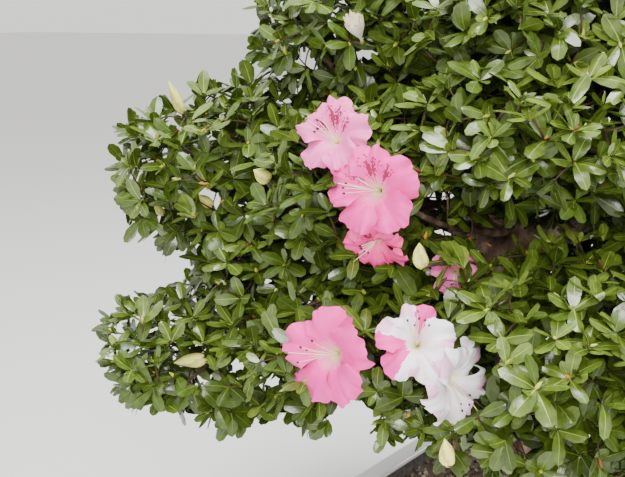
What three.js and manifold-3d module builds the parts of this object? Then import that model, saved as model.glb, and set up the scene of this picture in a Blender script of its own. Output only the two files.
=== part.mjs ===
// An old azalea trained as a bonsai, in its shallow glazed pot. Millimetres, Z up.
// The origin lies under the middle of the pot, on the flat underside that it stands on.
// The trunk carries a bough to each foliage space of four tiers. A space is an ellipsoid,
// and everything that grows in it comes from one stem by the same seeded rule.

import * as THREE from "three";
import { mergeVertices } from "three/addons/utils/BufferGeometryUtils.js";
import Module from "manifold-3d";

const wasm = await Module();
wasm.setup();

// Pot, with a broad flat rim that stands out over the body's wall, and soil
const POT_LENGTH = 574;
const POT_DEPTH = 420;
const POT_HEIGHT = 110;
const POT_CORNER = 40;
const CORNER_SIDES = 3;
const RIM_WIDTH = 28;
const RIM_EDGE = 3;
const RIM_EDGE_INSET = 2;
const RIM_UNDERCUT = 2;
const POT_WALL = 14;
const POT_FLOOR = 16;
const PLINTH_HEIGHT = 10;
const PLINTH_STEP = 1;
const PLINTH_INSET = 40;
const BODY_FOOT_INSET = 34;
const BODY_TOP_INSET = RIM_WIDTH - POT_WALL;
const LIP_HEIGHT = 17;
const SOIL_EDGE_HEIGHT = 96;
const SOIL_HEIGHT = 98;
const SOIL_SHOULDER = 60;

// Clearance between separate solids that touch on the real plant
const SEAT = 0.3;

// Trunk: its line from the soil to the tip, and its radius along it
const TRUNK_FOOT = new THREE.Vector3(-60, -5, SOIL_HEIGHT + SEAT);
const TRUNK_LEAN = [
  [0, 0, -40],
  [-3, -6, 45],
  [-22, -18, 130],
  [-42, -30, 215],
  [-46, -28, 290],
  [-26, -10, 365],
  [-6, 6, 440],
  [-2, 10, 515],
  [-12, 4, 575],
];
const TRUNK_FOOT_RADIUS = 50;
const TRUNK_TIP_RADIUS = 9;
const TRUNK_SIDES = 16;
const TRUNK_STEPS = 15;
const TRUNK_TAPER = 0.72;
const ROOT_COUNT = 5;
const ROOT_SPREAD = 46;
const ROOT_RIDGE = 0.45;
const ROOT_SKEW = 0.6;
const ROOT_RISE = 42;
const KNOT_SIZE = 2.2;
const KNOT_TWIST = 55;

// Boughs: each bends a little to the sides, and up more than down, at shares of its length
const BOUGH_TIP_RADIUS = 6;
const BOUGH_SIDES = 6;
const BOUGH_STEPS = 5;
const BOUGH_BENDS = [0.3, 0.62];
const BOUGH_SWAY = 18;
const BOUGH_WAVE = 14.4;
const BOUGH_SAG = 0.35;
const BOUGH_ENTRY = 0.72;
const BOUGH_DROP = 0.25;
const BOUGH_SEED = 900;

// Foliage spaces: where the middle of each lies round the trunk's foot, how far its ellipsoid
// reaches outwards, sideways and up, and the height and radius at which its bough leaves the
// trunk. The turn is in degrees round the trunk, the heights are over the pot's underside.
const SPACES = [
  { name: "low_left", turn: 216, out: 332, height: 298, reach: [158, 135, 72], bough: [252, 15] },
  { name: "low_front_left", turn: 254, out: 268, height: 334, reach: [128, 138, 74], bough: [284, 12] },
  { name: "low_front", turn: 291, out: 282, height: 344, reach: [125, 148, 102], bough: [246, 14] },
  { name: "low_right", turn: 342, out: 282, height: 325, reach: [160, 145, 86], bough: [266, 15] },
  { name: "low_back_right", turn: 42, out: 285, height: 335, reach: [150, 150, 85], bough: [250, 14] },
  { name: "low_back", turn: 100, out: 240, height: 330, reach: [135, 155, 82], bough: [280, 12] },
  { name: "low_back_left", turn: 160, out: 275, height: 320, reach: [150, 150, 82], bough: [262, 13] },
  { name: "mid_left", turn: 213, out: 322, height: 478, reach: [154, 125, 98], bough: [396, 12] },
  { name: "mid_front_left", turn: 250, out: 250, height: 480, reach: [115, 125, 90], bough: [424, 10] },
  { name: "mid_front", turn: 286, out: 235, height: 538, reach: [118, 135, 70], bough: [470, 10] },
  { name: "mid_right", turn: 330, out: 255, height: 490, reach: [150, 140, 88], bough: [412, 12] },
  { name: "mid_back_right", turn: 30, out: 250, height: 495, reach: [145, 140, 88], bough: [390, 11] },
  { name: "mid_back", turn: 92, out: 215, height: 490, reach: [130, 145, 88], bough: [420, 10] },
  { name: "mid_back_left", turn: 152, out: 250, height: 485, reach: [145, 140, 88], bough: [400, 11] },
  { name: "high_left", turn: 222, out: 190, height: 622, reach: [140, 125, 80], bough: [530, 9] },
  { name: "high_front", turn: 285, out: 165, height: 625, reach: [125, 135, 84], bough: [548, 8] },
  { name: "high_right", turn: 350, out: 170, height: 632, reach: [135, 135, 84], bough: [524, 9] },
  { name: "high_back_right", turn: 60, out: 160, height: 632, reach: [125, 130, 80], bough: [556, 8] },
  { name: "high_back", turn: 135, out: 165, height: 625, reach: [130, 135, 80], bough: [538, 8] },
  { name: "crown_top", turn: 200, out: 20, height: 735, reach: [140, 120, 70], bough: null },
  { name: "inner_left", turn: 220, out: 272, height: 398, reach: [122, 125, 62], bough: [330, 10] },
];
const CELL_MARGIN = 0.035;
const LIMB_MARGIN = 2.5;
const LIMB_BALLS = 60;

// Twigs: the stem runs from the bough's tip to the heart of its space, given as shares of the
// reach outwards and up, and twigs can fork from it at shares of its length
const SHOOTS = 7;
const HEART_OUT = 0.05;
const HEART_UP = -0.1;
const STEM_LEAN = 0.4;
const STEM_FORKS = [0.35, 0.6, 0.8, 1];
const TWIG_FORKS = [0.5, 0.95];
const STEM_RADIUS = 5.4;
const STEM_TIP_RADIUS = 3;
const STEM_SIDES = 5;
const STEM_STEPS = 2;
const TWIG_FOOT_RADIUS = 2.9;
const TWIG_TIP_RADIUS = 2.3;
const TWIG_SIDES = 3;
const SHOOT_DEPTH = 0.74;
const SHOOT_HIGHEST = 0.9;
const SHOOT_SPAN = 1.6;
const CLEAR_OF_LIMBS = 10;
const GOLDEN_TURN = Math.PI * (3 - Math.sqrt(5));

// The dense inner part of a mass, that its shoots stand out of
const CORE_REACH = 0.58;
const CORE_ROUGHNESS = 0.16;
const CORE_MARGIN = 0.085;
const CORE_LEAST = 0.15;
const CORE_STEP = 0.02;
const CORE_SUNK = 7;

// Leaves: larger than life, because each stands for several of a whorl
const LEAVES_PER_SHOOT = 3;
const LEAVES_PER_CORE = 5;
const LEAF_LENGTH = 58;
const LEAF_WIDTH = 28;
const LEAF_THICKNESS = 1.8;
const LEAF_WIDEST = 0.58;
const LEAF_SPLAY = 1.12;
const LEAF_SUNK = 1.2;
const LEAF_THICKEST = 0.3;
const LEAF_CHECKS = [0.3, 0.8, 1];
const LEAF_SPACING = 2.4;
const LEAF_TURN_SPREAD = 0.5;
const LEAF_SPLAY_SPREAD = 0.3;
const LEAF_SHORTEST = 0.88;
const LEAF_LENGTH_SPREAD = 0.24;
const CORE_LEAF_RISE = 0.4;
const CORE_LEAF_LEAN = 0.7;

// Blossoms: the turn, distance and height of the open face's middle, the turn and rise of
// the way it looks, and its width across the lobes
const BLOSSOMS = [
  { space: "mid_front_left", turn: 257, out: 344, height: 537, look: 274, rise: 30, width: 80 },
  { space: "mid_front_left", turn: 264, out: 350, height: 494, look: 278, rise: 8, width: 84 },
  { space: "mid_front_left", turn: 264, out: 332, height: 447, look: 285, rise: -42, width: 64 },
  { space: "low_front_left", turn: 260, out: 378, height: 357, look: 274, rise: 6, width: 88 },
  { space: "low_front", turn: 274, out: 380, height: 381, look: 290, rise: 22, width: 80 },
  { space: "low_front", turn: 280, out: 366, height: 350, look: 348, rise: -12, width: 68 },
  { space: "high_left", turn: 249, out: 284, height: 630, look: 280, rise: 40, width: 40 },
  { space: "low_front", turn: 275, out: 290, height: 428, look: 300, rise: 12, width: 62 },
  { space: "low_right", turn: 335, out: 408, height: 372, look: 335, rise: 15, width: 76 },
  { space: "mid_right", turn: 340, out: 372, height: 520, look: 345, rise: 30, width: 78 },
  { space: "low_back_right", turn: 50, out: 400, height: 375, look: 45, rise: 20, width: 76 },
  { space: "mid_back", turn: 84, out: 320, height: 520, look: 85, rise: 25, width: 78 },
  { space: "low_back_left", turn: 165, out: 395, height: 362, look: 160, rise: 15, width: 76 },
  { space: "mid_back_left", turn: 158, out: 360, height: 515, look: 150, rise: 25, width: 78 },
  { space: "high_right", turn: 338, out: 262, height: 668, look: 335, rise: 40, width: 74 },
];
const PETALS = 5;
const PETAL_CUP = 0.42;
const THROAT_RADIUS = 0.3;
const THROAT_HEIGHT = 0.18;
const PETAL_THICKNESS = 2;
const LOBE_DEPTH = 0.12;
const BLOSSOM_DEPTH = 0.16;
const PEDICEL_RADIUS = 1.6;

const UP = new THREE.Vector3(0, 0, 1);

// A way that no twig runs along
const ASKEW = new THREE.Vector3(0.31, 0.17, 0.93);

// Corners nearer to each other than this are one corner
const WELD = 1e-4;

// One number after another between 0 and 1, the same for the same seed
function seededRandom(seed) {
  let state = seed >>> 0;
  return () => {
    state = (state + 0x6d2b79f5) >>> 0;
    let mixed = Math.imul(state ^ (state >>> 15), state | 1);
    mixed ^= mixed + Math.imul(mixed ^ (mixed >>> 7), mixed | 61);
    return ((mixed ^ (mixed >>> 14)) >>> 0) / 4294967296;
  };
}

// Geometry to solid and back

function solidOf(geometry) {
  const bare = geometry.clone();
  bare.deleteAttribute("normal");
  bare.deleteAttribute("uv");
  const merged = mergeVertices(bare, WELD);
  return new wasm.Manifold(
    new wasm.Mesh({
      numProp: 3,
      vertProperties: new Float32Array(merged.attributes.position.array),
      triVerts: new Uint32Array(merged.index.array),
    }),
  );
}

function geometryOf(solid) {
  const mesh = solid.getMesh();
  const geometry = new THREE.BufferGeometry();
  const places = new Float32Array(mesh.numVert * 3);
  for (let i = 0; i < mesh.numVert; i += 1) {
    places.set(mesh.vertProperties.subarray(i * mesh.numProp, i * mesh.numProp + 3), i * 3);
  }
  geometry.setAttribute("position", new THREE.BufferAttribute(places, 3));
  geometry.setIndex(new THREE.BufferAttribute(new Uint32Array(mesh.triVerts), 1));
  geometry.computeVertexNormals();
  return geometry;
}

// The largest closed body alone: a loose scrap is dropped and a sealed hollow filled
function oneBody(solid) {
  return solid.decompose().reduce((best, piece) => (piece.volume() > best.volume() ? piece : best));
}

function fuse(solids) {
  return oneBody(wasm.Manifold.union(solids));
}

// A closed limb: a cylinder bent along a curve, with its own radius at each place
function bentCylinder(curve, radiusAt, sides, steps) {
  const geometry = new THREE.CylinderGeometry(1, 1, 1, sides, steps);
  const frames = curve.computeFrenetFrames(steps, false);
  const places = geometry.attributes.position;
  for (let i = 0; i < places.count; i += 1) {
    const step = Math.round((places.getY(i) + 0.5) * steps);
    const angle = Math.atan2(places.getZ(i), places.getX(i));
    const reach = Math.hypot(places.getX(i), places.getZ(i)) * radiusAt(step / steps, angle);
    const place = curve.getPointAt(step / steps);
    place.addScaledVector(frames.normals[step], reach * Math.cos(angle));
    place.addScaledVector(frames.binormals[step], -reach * Math.sin(angle));
    places.setXYZ(i, place.x, place.y, place.z);
  }
  return solidOf(geometry);
}

function taper(foot, tip) {
  return (t) => foot + (tip - foot) * t;
}

// Pot and soil: rounded oblongs whose sides are drawn in by an amount for each height

function roundedOblong(length, depth, corner) {
  const x = length / 2;
  const y = depth / 2;
  const shape = new THREE.Shape();
  shape.moveTo(-x + corner, -y);
  shape.lineTo(x - corner, -y);
  shape.absarc(x - corner, -y + corner, corner, -Math.PI / 2, 0);
  shape.lineTo(x, y - corner);
  shape.absarc(x - corner, y - corner, corner, 0, Math.PI / 2);
  shape.lineTo(-x + corner, y);
  shape.absarc(-x + corner, y - corner, corner, Math.PI / 2, Math.PI);
  shape.lineTo(-x, -y + corner);
  shape.absarc(-x + corner, -y + corner, corner, Math.PI, 1.5 * Math.PI);
  return shape;
}

// A stack of levels [height, inset], each joined to the next by straight walls
function drawnInBlock(levels) {
  const outline = roundedOblong(POT_LENGTH, POT_DEPTH, POT_CORNER);
  const steps = levels.length - 1;
  const geometry = new THREE.ExtrudeGeometry(outline, {
    depth: steps,
    steps,
    bevelEnabled: false,
    curveSegments: CORNER_SIDES,
  });
  const places = geometry.attributes.position;
  for (let i = 0; i < places.count; i += 1) {
    const [height, inset] = levels[Math.round(places.getZ(i))];
    places.setXYZ(
      i,
      places.getX(i) * (1 - (2 * inset) / POT_LENGTH),
      places.getY(i) * (1 - (2 * inset) / POT_DEPTH),
      height,
    );
  }
  return solidOf(geometry);
}

function bodyInset(height) {
  const share = (height - PLINTH_HEIGHT) / (POT_HEIGHT - LIP_HEIGHT - PLINTH_HEIGHT);
  return BODY_FOOT_INSET + (BODY_TOP_INSET - BODY_FOOT_INSET) * share;
}

// The inner wall slopes from the rim's inner edge to the floor, one wall inside the body
const INSIDE_TOP = POT_HEIGHT + 1;

function innerInset(height) {
  const foot = bodyInset(POT_FLOOR) + POT_WALL;
  const share = (height - POT_FLOOR) / (INSIDE_TOP - POT_FLOOR);
  return foot + (RIM_WIDTH - foot) * share;
}

function makePot() {
  const lipFoot = POT_HEIGHT - LIP_HEIGHT;
  const outside = drawnInBlock([
    [0, PLINTH_INSET],
    [PLINTH_HEIGHT, PLINTH_INSET],
    [PLINTH_HEIGHT + PLINTH_STEP, BODY_FOOT_INSET],
    [lipFoot, BODY_TOP_INSET],
    [lipFoot + RIM_UNDERCUT, 0],
    [POT_HEIGHT - RIM_EDGE, 0],
    [POT_HEIGHT, RIM_EDGE_INSET],
  ]);
  const inside = drawnInBlock([
    [POT_FLOOR, innerInset(POT_FLOOR)],
    [INSIDE_TOP, innerInset(INSIDE_TOP)],
  ]);
  return outside.subtract(inside);
}

function makeSoil() {
  const foot = POT_FLOOR + SEAT;
  return drawnInBlock([
    [foot, innerInset(foot) + SEAT],
    [SOIL_EDGE_HEIGHT, innerInset(SOIL_EDGE_HEIGHT) + SEAT],
    [SOIL_HEIGHT, RIM_WIDTH + SOIL_SHOULDER],
  ]);
}

// Trunk

const trunkLine = new THREE.CatmullRomCurve3(
  TRUNK_LEAN.map(([x, y, z]) => new THREE.Vector3(x, y, z).add(TRUNK_FOOT)),
);

// Radius of the plain trunk at a height over the soil, then with its surface roots
function trunkRadius(height) {
  const full = TRUNK_LEAN[TRUNK_LEAN.length - 1][2];
  const share = Math.min(Math.max(height / full, 0), 1);
  return TRUNK_FOOT_RADIUS + (TRUNK_TIP_RADIUS - TRUNK_FOOT_RADIUS) * share ** TRUNK_TAPER;
}

function flaredRadius(height, angle) {
  const flare = Math.exp(-Math.max(height, 0) / ROOT_RISE);
  const wave = Math.cos(ROOT_COUNT * angle + ROOT_SKEW * Math.sin(angle));
  const ridge = 1 - ROOT_RIDGE + ROOT_RIDGE * wave;
  const knot = KNOT_SIZE * Math.sin(2 * angle + height / KNOT_TWIST);
  return trunkRadius(height) + ROOT_SPREAD * flare * ridge + knot * (1 - flare);
}

function trunkSolid(swell) {
  const radiusAt = (t, angle) => {
    const height = trunkLine.getPointAt(t).z - TRUNK_FOOT.z;
    return flaredRadius(height, angle) + swell;
  };
  return bentCylinder(trunkLine, radiusAt, TRUNK_SIDES, TRUNK_STEPS);
}

function makeTrunk() {
  const ground = new THREE.BoxGeometry(POT_LENGTH, POT_DEPTH, POT_HEIGHT);
  ground.translate(TRUNK_FOOT.x, TRUNK_FOOT.y, TRUNK_FOOT.z - POT_HEIGHT / 2);
  return oneBody(trunkSolid(0).subtract(solidOf(ground)));
}

function trunkPointAt(height) {
  for (let step = 0; step <= 200; step += 1) {
    const place = trunkLine.getPointAt(step / 200);
    if (place.z >= height) {
      return place;
    }
  }
  return trunkLine.getPointAt(1);
}

// Foliage spaces

function layOut(space) {
  const turn = THREE.MathUtils.degToRad(space.turn);
  const outward = new THREE.Vector3(Math.cos(turn), Math.sin(turn), 0);
  const sideways = new THREE.Vector3(-Math.sin(turn), Math.cos(turn), 0);
  const middle = TRUNK_FOOT.clone().addScaledVector(outward, space.out).setZ(space.height);
  const [along, across, up] = space.reach;
  return { ...space, outward, sideways, middle, along, across, up };
}

const spaces = SPACES.map(layOut);

// 0 in the middle of a space, 1 on its outside
function depthIn(space, place) {
  const from = place.clone().sub(space.middle);
  return Math.hypot(
    from.dot(space.outward) / space.along,
    from.dot(space.sideways) / space.across,
    from.z / space.up,
  );
}

function ownsPlace(space, place, margin = CELL_MARGIN) {
  const own = depthIn(space, place);
  return spaces.every((other) => other === space || depthIn(other, place) > own + margin);
}

function placeIn(space, along, across, up) {
  return space.middle
    .clone()
    .addScaledVector(space.outward, along * space.along)
    .addScaledVector(space.sideways, across * space.across)
    .addScaledVector(UP, up * space.up);
}

// Boughs

function boughLine(space, index) {
  const random = seededRandom(BOUGH_SEED + index);
  const foot = trunkPointAt(space.bough[0]);
  const tip = placeIn(space, -BOUGH_ENTRY, 0, -BOUGH_DROP);
  const along = tip.clone().sub(foot);
  const side = new THREE.Vector3().crossVectors(along, UP).normalize();
  const points = [foot];
  for (const share of BOUGH_BENDS) {
    const point = foot.clone().addScaledVector(along, share);
    point.addScaledVector(side, (random() - 0.5) * BOUGH_SWAY);
    point.z += (random() - BOUGH_SAG) * BOUGH_WAVE;
    points.push(point);
  }
  points.push(tip);
  return new THREE.CatmullRomCurve3(points);
}

function makeBough(space, line, trunkCutter) {
  const radiusAt = taper(space.bough[1], BOUGH_TIP_RADIUS);
  return oneBody(bentCylinder(line, radiusAt, BOUGH_SIDES, BOUGH_STEPS).subtract(trunkCutter));
}

// Sample balls along the trunk and boughs, which foliage keeps clear of
function ballsAlong(curve, radiusAt, count) {
  const balls = [];
  for (let i = 0; i <= count; i += 1) {
    balls.push({ place: curve.getPointAt(i / count), radius: radiusAt(i / count) });
  }
  return balls;
}

function clearOf(balls, place, margin) {
  return balls.every((ball) => ball.place.distanceTo(place) > ball.radius + margin);
}

// Twigs: each shoot tip joins the nearest point that has already grown

function growSkeleton(space, line, limbs) {
  const random = seededRandom(space.turn * 7 + space.height);
  const seatWay = line ? line.getTangentAt(1) : trunkLine.getTangentAt(1);
  const seat = (line ?? trunkLine).getPointAt(1).addScaledVector(seatWay, SEAT);
  const heart = placeIn(space, line ? HEART_OUT : 0, 0, HEART_UP);
  const bend = seat.clone().addScaledVector(seatWay, seat.distanceTo(heart) * STEM_LEAN);
  const stem = new THREE.CatmullRomCurve3([seat, bend, heart]);
  const grown = STEM_FORKS.map((share) => stem.getPointAt(share));
  const shoots = [];
  const phase = random() * Math.PI * 2;
  for (let i = 0; i < SHOOTS; i += 1) {
    const rise = SHOOT_HIGHEST - (SHOOT_SPAN * (i + 0.5)) / SHOOTS;
    const turn = phase + i * GOLDEN_TURN;
    const ring = Math.sqrt(1 - rise * rise) * SHOOT_DEPTH;
    const tip = placeIn(space, ring * Math.cos(turn), ring * Math.sin(turn), rise * SHOOT_DEPTH);
    if (ownsPlace(space, tip) && clearOf(limbs, tip, CLEAR_OF_LIMBS)) {
      shoots.push(tip);
    }
  }
  shoots.sort((a, b) => a.distanceTo(seat) - b.distanceTo(seat));
  return { random, stem, grown, shoots };
}

function nearest(grown, place) {
  return grown.reduce((best, point) => (point.distanceTo(place) < best.distanceTo(place) ? point : best));
}

function growTwig(grown, tip) {
  const from = nearest(grown, tip);
  const line = new THREE.LineCurve3(from, tip);
  grown.push(...TWIG_FORKS.map((share) => line.getPointAt(share)));
  return line;
}

// The core: a rough ball drawn in wherever it would leave its space or near a limb
function makeCore(space, random, limbs) {
  const ball = new THREE.IcosahedronGeometry(1, 1);
  ball.deleteAttribute("normal");
  ball.deleteAttribute("uv");
  const core = mergeVertices(ball, WELD);
  const places = core.attributes.position;
  for (let i = 0; i < places.count; i += 1) {
    const way = new THREE.Vector3().fromBufferAttribute(places, i);
    const at = (reach) => placeIn(space, way.x * reach, way.y * reach, way.z * reach);
    let reach = CORE_REACH * (1 - CORE_ROUGHNESS * random());
    const fits = () =>
      ownsPlace(space, at(reach), CORE_MARGIN) && clearOf(limbs, at(reach), CLEAR_OF_LIMBS);
    while (!fits() && reach > CORE_LEAST) {
      reach -= CORE_STEP;
    }
    const place = at(reach);
    places.setXYZ(i, place.x, place.y, place.z);
  }
  return core;
}

// Leaves: six-cornered blades with their root at the origin and their tip along X

function bladeGeometry(length, width, thickness, widest, thickest) {
  const bare = new THREE.OctahedronGeometry(0.5).deleteAttribute("normal").deleteAttribute("uv");
  const blade = mergeVertices(bare, WELD);
  const places = blade.attributes.position;
  for (let i = 0; i < places.count; i += 1) {
    let share = places.getX(i) + 0.5;
    if (places.getY(i) !== 0) {
      share = widest;
    } else if (places.getZ(i) !== 0) {
      share = thickest;
    }
    places.setXYZ(i, share * length, places.getY(i) * width, places.getZ(i) * thickness);
  }
  return blade;
}

function placedAlong(geometry, root, way, face) {
  const side = new THREE.Vector3().crossVectors(face, way).normalize();
  const normal = new THREE.Vector3().crossVectors(way, side);
  const turn = new THREE.Matrix4().makeBasis(way, side, normal).setPosition(root);
  return geometry.clone().applyMatrix4(turn);
}

// One leaf, unless it would leave its space or touch a limb
function makeLeaf(space, root, way, face, length, limbs) {
  const edge = new THREE.Vector3().crossVectors(face, way).setLength(LEAF_WIDTH / 2);
  const at = (share) => root.clone().addScaledVector(way, length * share);
  const middle = at(LEAF_WIDEST);
  const corners = [middle.clone().add(edge), middle.clone().sub(edge)];
  const outline = [...LEAF_CHECKS.map(at), middle, ...corners];
  const keeps = outline.every(
    (place) => ownsPlace(space, place) && depthIn(space, place) <= 1 && clearOf(limbs, place, LIMB_MARGIN),
  );
  const blade = bladeGeometry(length, LEAF_WIDTH, LEAF_THICKNESS, LEAF_WIDEST, LEAF_THICKEST);
  return keeps ? [solidOf(placedAlong(blade, root, way, face))] : [];
}

// A whorl of leaves splayed round the end of a twig
function shootLeaves(space, tip, way, random, limbs) {
  const leaves = [];
  const phase = random() * Math.PI * 2;
  const side = new THREE.Vector3().crossVectors(way, ASKEW).normalize();
  const other = new THREE.Vector3().crossVectors(way, side);
  for (let i = 0; i < LEAVES_PER_SHOOT; i += 1) {
    const share = i / LEAVES_PER_SHOOT;
    const turn = phase + share * 2 * Math.PI + (random() - 0.5) * LEAF_TURN_SPREAD;
    const splay = LEAF_SPLAY + (random() - 0.5) * LEAF_SPLAY_SPREAD;
    const length = LEAF_LENGTH * (LEAF_SHORTEST + LEAF_LENGTH_SPREAD * random());
    const radial = side.clone().multiplyScalar(Math.cos(turn)).addScaledVector(other, Math.sin(turn));
    const leafWay = way.clone().multiplyScalar(Math.cos(splay)).addScaledVector(radial, Math.sin(splay));
    const root = tip.clone().addScaledVector(way, -LEAF_SPACING * (i + 1));
    root.addScaledVector(leafWay, -LEAF_SUNK);
    leaves.push(...makeLeaf(space, root, leafWay, way, length, limbs));
  }
  return leaves;
}

// Leaves that stand out of the core between the twigs
function coreLeaves(space, core, random, limbs) {
  const leaves = [];
  const phase = random() * Math.PI * 2;
  const corners = core.attributes.position;
  for (let i = 0; i < LEAVES_PER_CORE; i += 1) {
    const index = Math.floor(((i + random()) * corners.count) / LEAVES_PER_CORE);
    const corner = new THREE.Vector3().fromBufferAttribute(corners, index);
    const normal = corner.clone().sub(space.middle).normalize();
    const turn = phase + i * GOLDEN_TURN;
    const lean = new THREE.Vector3(Math.cos(turn), Math.sin(turn), CORE_LEAF_RISE);
    const way = normal.clone().addScaledVector(lean, CORE_LEAF_LEAN).normalize();
    const root = corner.clone().addScaledVector(normal, -CORE_SUNK);
    leaves.push(...makeLeaf(space, root, way, normal, LEAF_LENGTH, limbs));
  }
  return leaves;
}

// Blossoms: five lobes round a short funnel, on a stalk from the nearest twig

function blossomFrame(blossom) {
  const turn = THREE.MathUtils.degToRad(blossom.turn);
  const look = THREE.MathUtils.degToRad(blossom.look);
  const rise = THREE.MathUtils.degToRad(blossom.rise);
  const middle = new THREE.Vector3(
    TRUNK_FOOT.x + blossom.out * Math.cos(turn),
    TRUNK_FOOT.y + blossom.out * Math.sin(turn),
    blossom.height,
  );
  const way = new THREE.Vector3(
    Math.cos(rise) * Math.cos(look),
    Math.cos(rise) * Math.sin(look),
    Math.sin(rise),
  );
  return { middle, way };
}

// A shallow five-lobed cup with its foot at the origin, opening along Y
function blossomGeometry(width) {
  const radius = width / 2;
  const wall = PETAL_THICKNESS;
  const profile = [
    [0, -wall],
    [radius * THROAT_RADIUS, radius * THROAT_HEIGHT],
    [radius, radius * PETAL_CUP],
    [radius - wall / 2, radius * PETAL_CUP + wall],
    [radius * THROAT_RADIUS - wall / 2, radius * THROAT_HEIGHT + wall],
    [0, wall],
  ];
  const points = profile.map(([x, y]) => new THREE.Vector2(x, y));
  const cup = new THREE.LatheGeometry(points, 2 * PETALS);
  const places = cup.attributes.position;
  for (let i = 0; i < places.count; i += 1) {
    const reach = Math.hypot(places.getX(i), places.getZ(i));
    const lobe = Math.cos(PETALS * Math.atan2(places.getX(i), places.getZ(i)));
    const spread = reach > radius / 2 ? 1 - LOBE_DEPTH + LOBE_DEPTH * lobe : 1;
    places.setX(i, places.getX(i) * spread);
    places.setZ(i, places.getZ(i) * spread);
  }
  return cup;
}

function blossomSolids(blossom, grown) {
  const { middle, way } = blossomFrame(blossom);
  const foot = middle.clone().addScaledVector(way, -blossom.width * BLOSSOM_DEPTH);
  const side = new THREE.Vector3().crossVectors(way, UP).normalize();
  const upper = new THREE.Vector3().crossVectors(side, way);
  const turn = new THREE.Matrix4().makeBasis(side, way, upper).setPosition(foot);
  const stalk = new THREE.LineCurve3(nearest(grown, foot), foot);
  return [
    solidOf(blossomGeometry(blossom.width).applyMatrix4(turn)),
    bentCylinder(stalk, taper(TWIG_FOOT_RADIUS, PEDICEL_RADIUS), TWIG_SIDES, 1),
  ];
}

// One mass: stem, twigs, leaves and blossoms of a space, fused into one body
function makeMass(space, line, limbs) {
  const { random, stem, grown, shoots } = growSkeleton(space, line, limbs);
  const core = makeCore(space, random, limbs);
  const solids = [
    bentCylinder(stem, taper(STEM_RADIUS, STEM_TIP_RADIUS), STEM_SIDES, STEM_STEPS),
    solidOf(core),
    ...coreLeaves(space, core, random, limbs),
  ];
  for (const tip of shoots) {
    const twig = growTwig(grown, tip);
    solids.push(bentCylinder(twig, taper(TWIG_FOOT_RADIUS, TWIG_TIP_RADIUS), TWIG_SIDES, 1));
    solids.push(...shootLeaves(space, tip, twig.getTangentAt(1), random, limbs));
  }
  for (const blossom of BLOSSOMS.filter((each) => each.space === space.name)) {
    solids.push(...blossomSolids(blossom, grown));
  }
  return fuse(solids);
}

// Materials

function finish(color, roughness) {
  return new THREE.MeshStandardMaterial({ color, roughness, metalness: 0 });
}

const GLAZE = finish(0xe9e6da, 0.3);
const SOIL = finish(0x7a6b52, 0.95);
const BARK = finish(0x5b4a3c, 0.9);
const LEAF = finish(0x4f7434, 0.45);

// Assembly

const plant = new THREE.Group();

function addMesh(name, solid, material) {
  const mesh = new THREE.Mesh(geometryOf(solid), material);
  mesh.name = name;
  plant.add(mesh);
}

addMesh("pot", makePot(), GLAZE);
addMesh("soil", makeSoil(), SOIL);
addMesh("trunk", makeTrunk(), BARK);

const trunkCutter = trunkSolid(SEAT);
const boughLines = spaces.map((space, index) => (space.bough ? boughLine(space, index) : null));
const trunkBalls = ballsAlong(
  trunkLine,
  (t) => trunkRadius(trunkLine.getPointAt(t).z - TRUNK_FOOT.z),
  LIMB_BALLS,
);
const boughBalls = boughLines.flatMap((line, index) =>
  line ? ballsAlong(line, taper(spaces[index].bough[1], BOUGH_TIP_RADIUS), LIMB_BALLS) : [],
);
const blossomBalls = BLOSSOMS.map((blossom) => ({
  place: blossomFrame(blossom).middle,
  radius: blossom.width / 2,
}));
const limbs = [...trunkBalls, ...boughBalls, ...blossomBalls];

spaces.forEach((space, index) => {
  if (boughLines[index]) {
    addMesh(`bough_${space.name}`, makeBough(space, boughLines[index], trunkCutter), BARK);
  }
});
spaces.forEach((space, index) => {
  addMesh(`foliage_${space.name}`, makeMass(space, boughLines[index], limbs), LEAF);
});

export default plant;
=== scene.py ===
"""The looks of an old azalea trained as a bonsai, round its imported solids.

Lengths in this script are millimetres and become metres where a mesh is made. The limbs and
foliage grow by the rule that the solids follow, from the same named sizes, and are carried
on to fine twigs, leaves and blossoms inside the same spaces.
"""

import itertools
import math

import bpy
import numpy as np
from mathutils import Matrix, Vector


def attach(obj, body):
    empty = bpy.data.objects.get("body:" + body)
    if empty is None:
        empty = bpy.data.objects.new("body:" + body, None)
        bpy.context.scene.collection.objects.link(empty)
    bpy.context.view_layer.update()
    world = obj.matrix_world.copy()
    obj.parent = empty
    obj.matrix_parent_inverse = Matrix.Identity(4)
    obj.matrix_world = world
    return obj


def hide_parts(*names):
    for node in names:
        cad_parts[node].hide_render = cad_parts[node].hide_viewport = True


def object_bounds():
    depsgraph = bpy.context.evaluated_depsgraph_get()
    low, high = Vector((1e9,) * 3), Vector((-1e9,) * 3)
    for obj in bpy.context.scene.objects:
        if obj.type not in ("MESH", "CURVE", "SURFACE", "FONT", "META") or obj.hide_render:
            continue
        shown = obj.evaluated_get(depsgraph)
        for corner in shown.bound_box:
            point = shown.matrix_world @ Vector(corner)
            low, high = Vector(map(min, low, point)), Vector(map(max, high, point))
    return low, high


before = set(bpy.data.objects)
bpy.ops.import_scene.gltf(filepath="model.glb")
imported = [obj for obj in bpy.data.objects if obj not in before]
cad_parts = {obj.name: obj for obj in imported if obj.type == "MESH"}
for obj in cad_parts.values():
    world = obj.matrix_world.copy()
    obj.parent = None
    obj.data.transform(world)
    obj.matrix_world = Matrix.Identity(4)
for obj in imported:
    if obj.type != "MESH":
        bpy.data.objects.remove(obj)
cad_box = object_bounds()

MM = 0.001
BODY = "root"
UP = np.array([0.0, 0.0, 1.0])
ASKEW = np.array([0.31, 0.17, 0.93])

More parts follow.
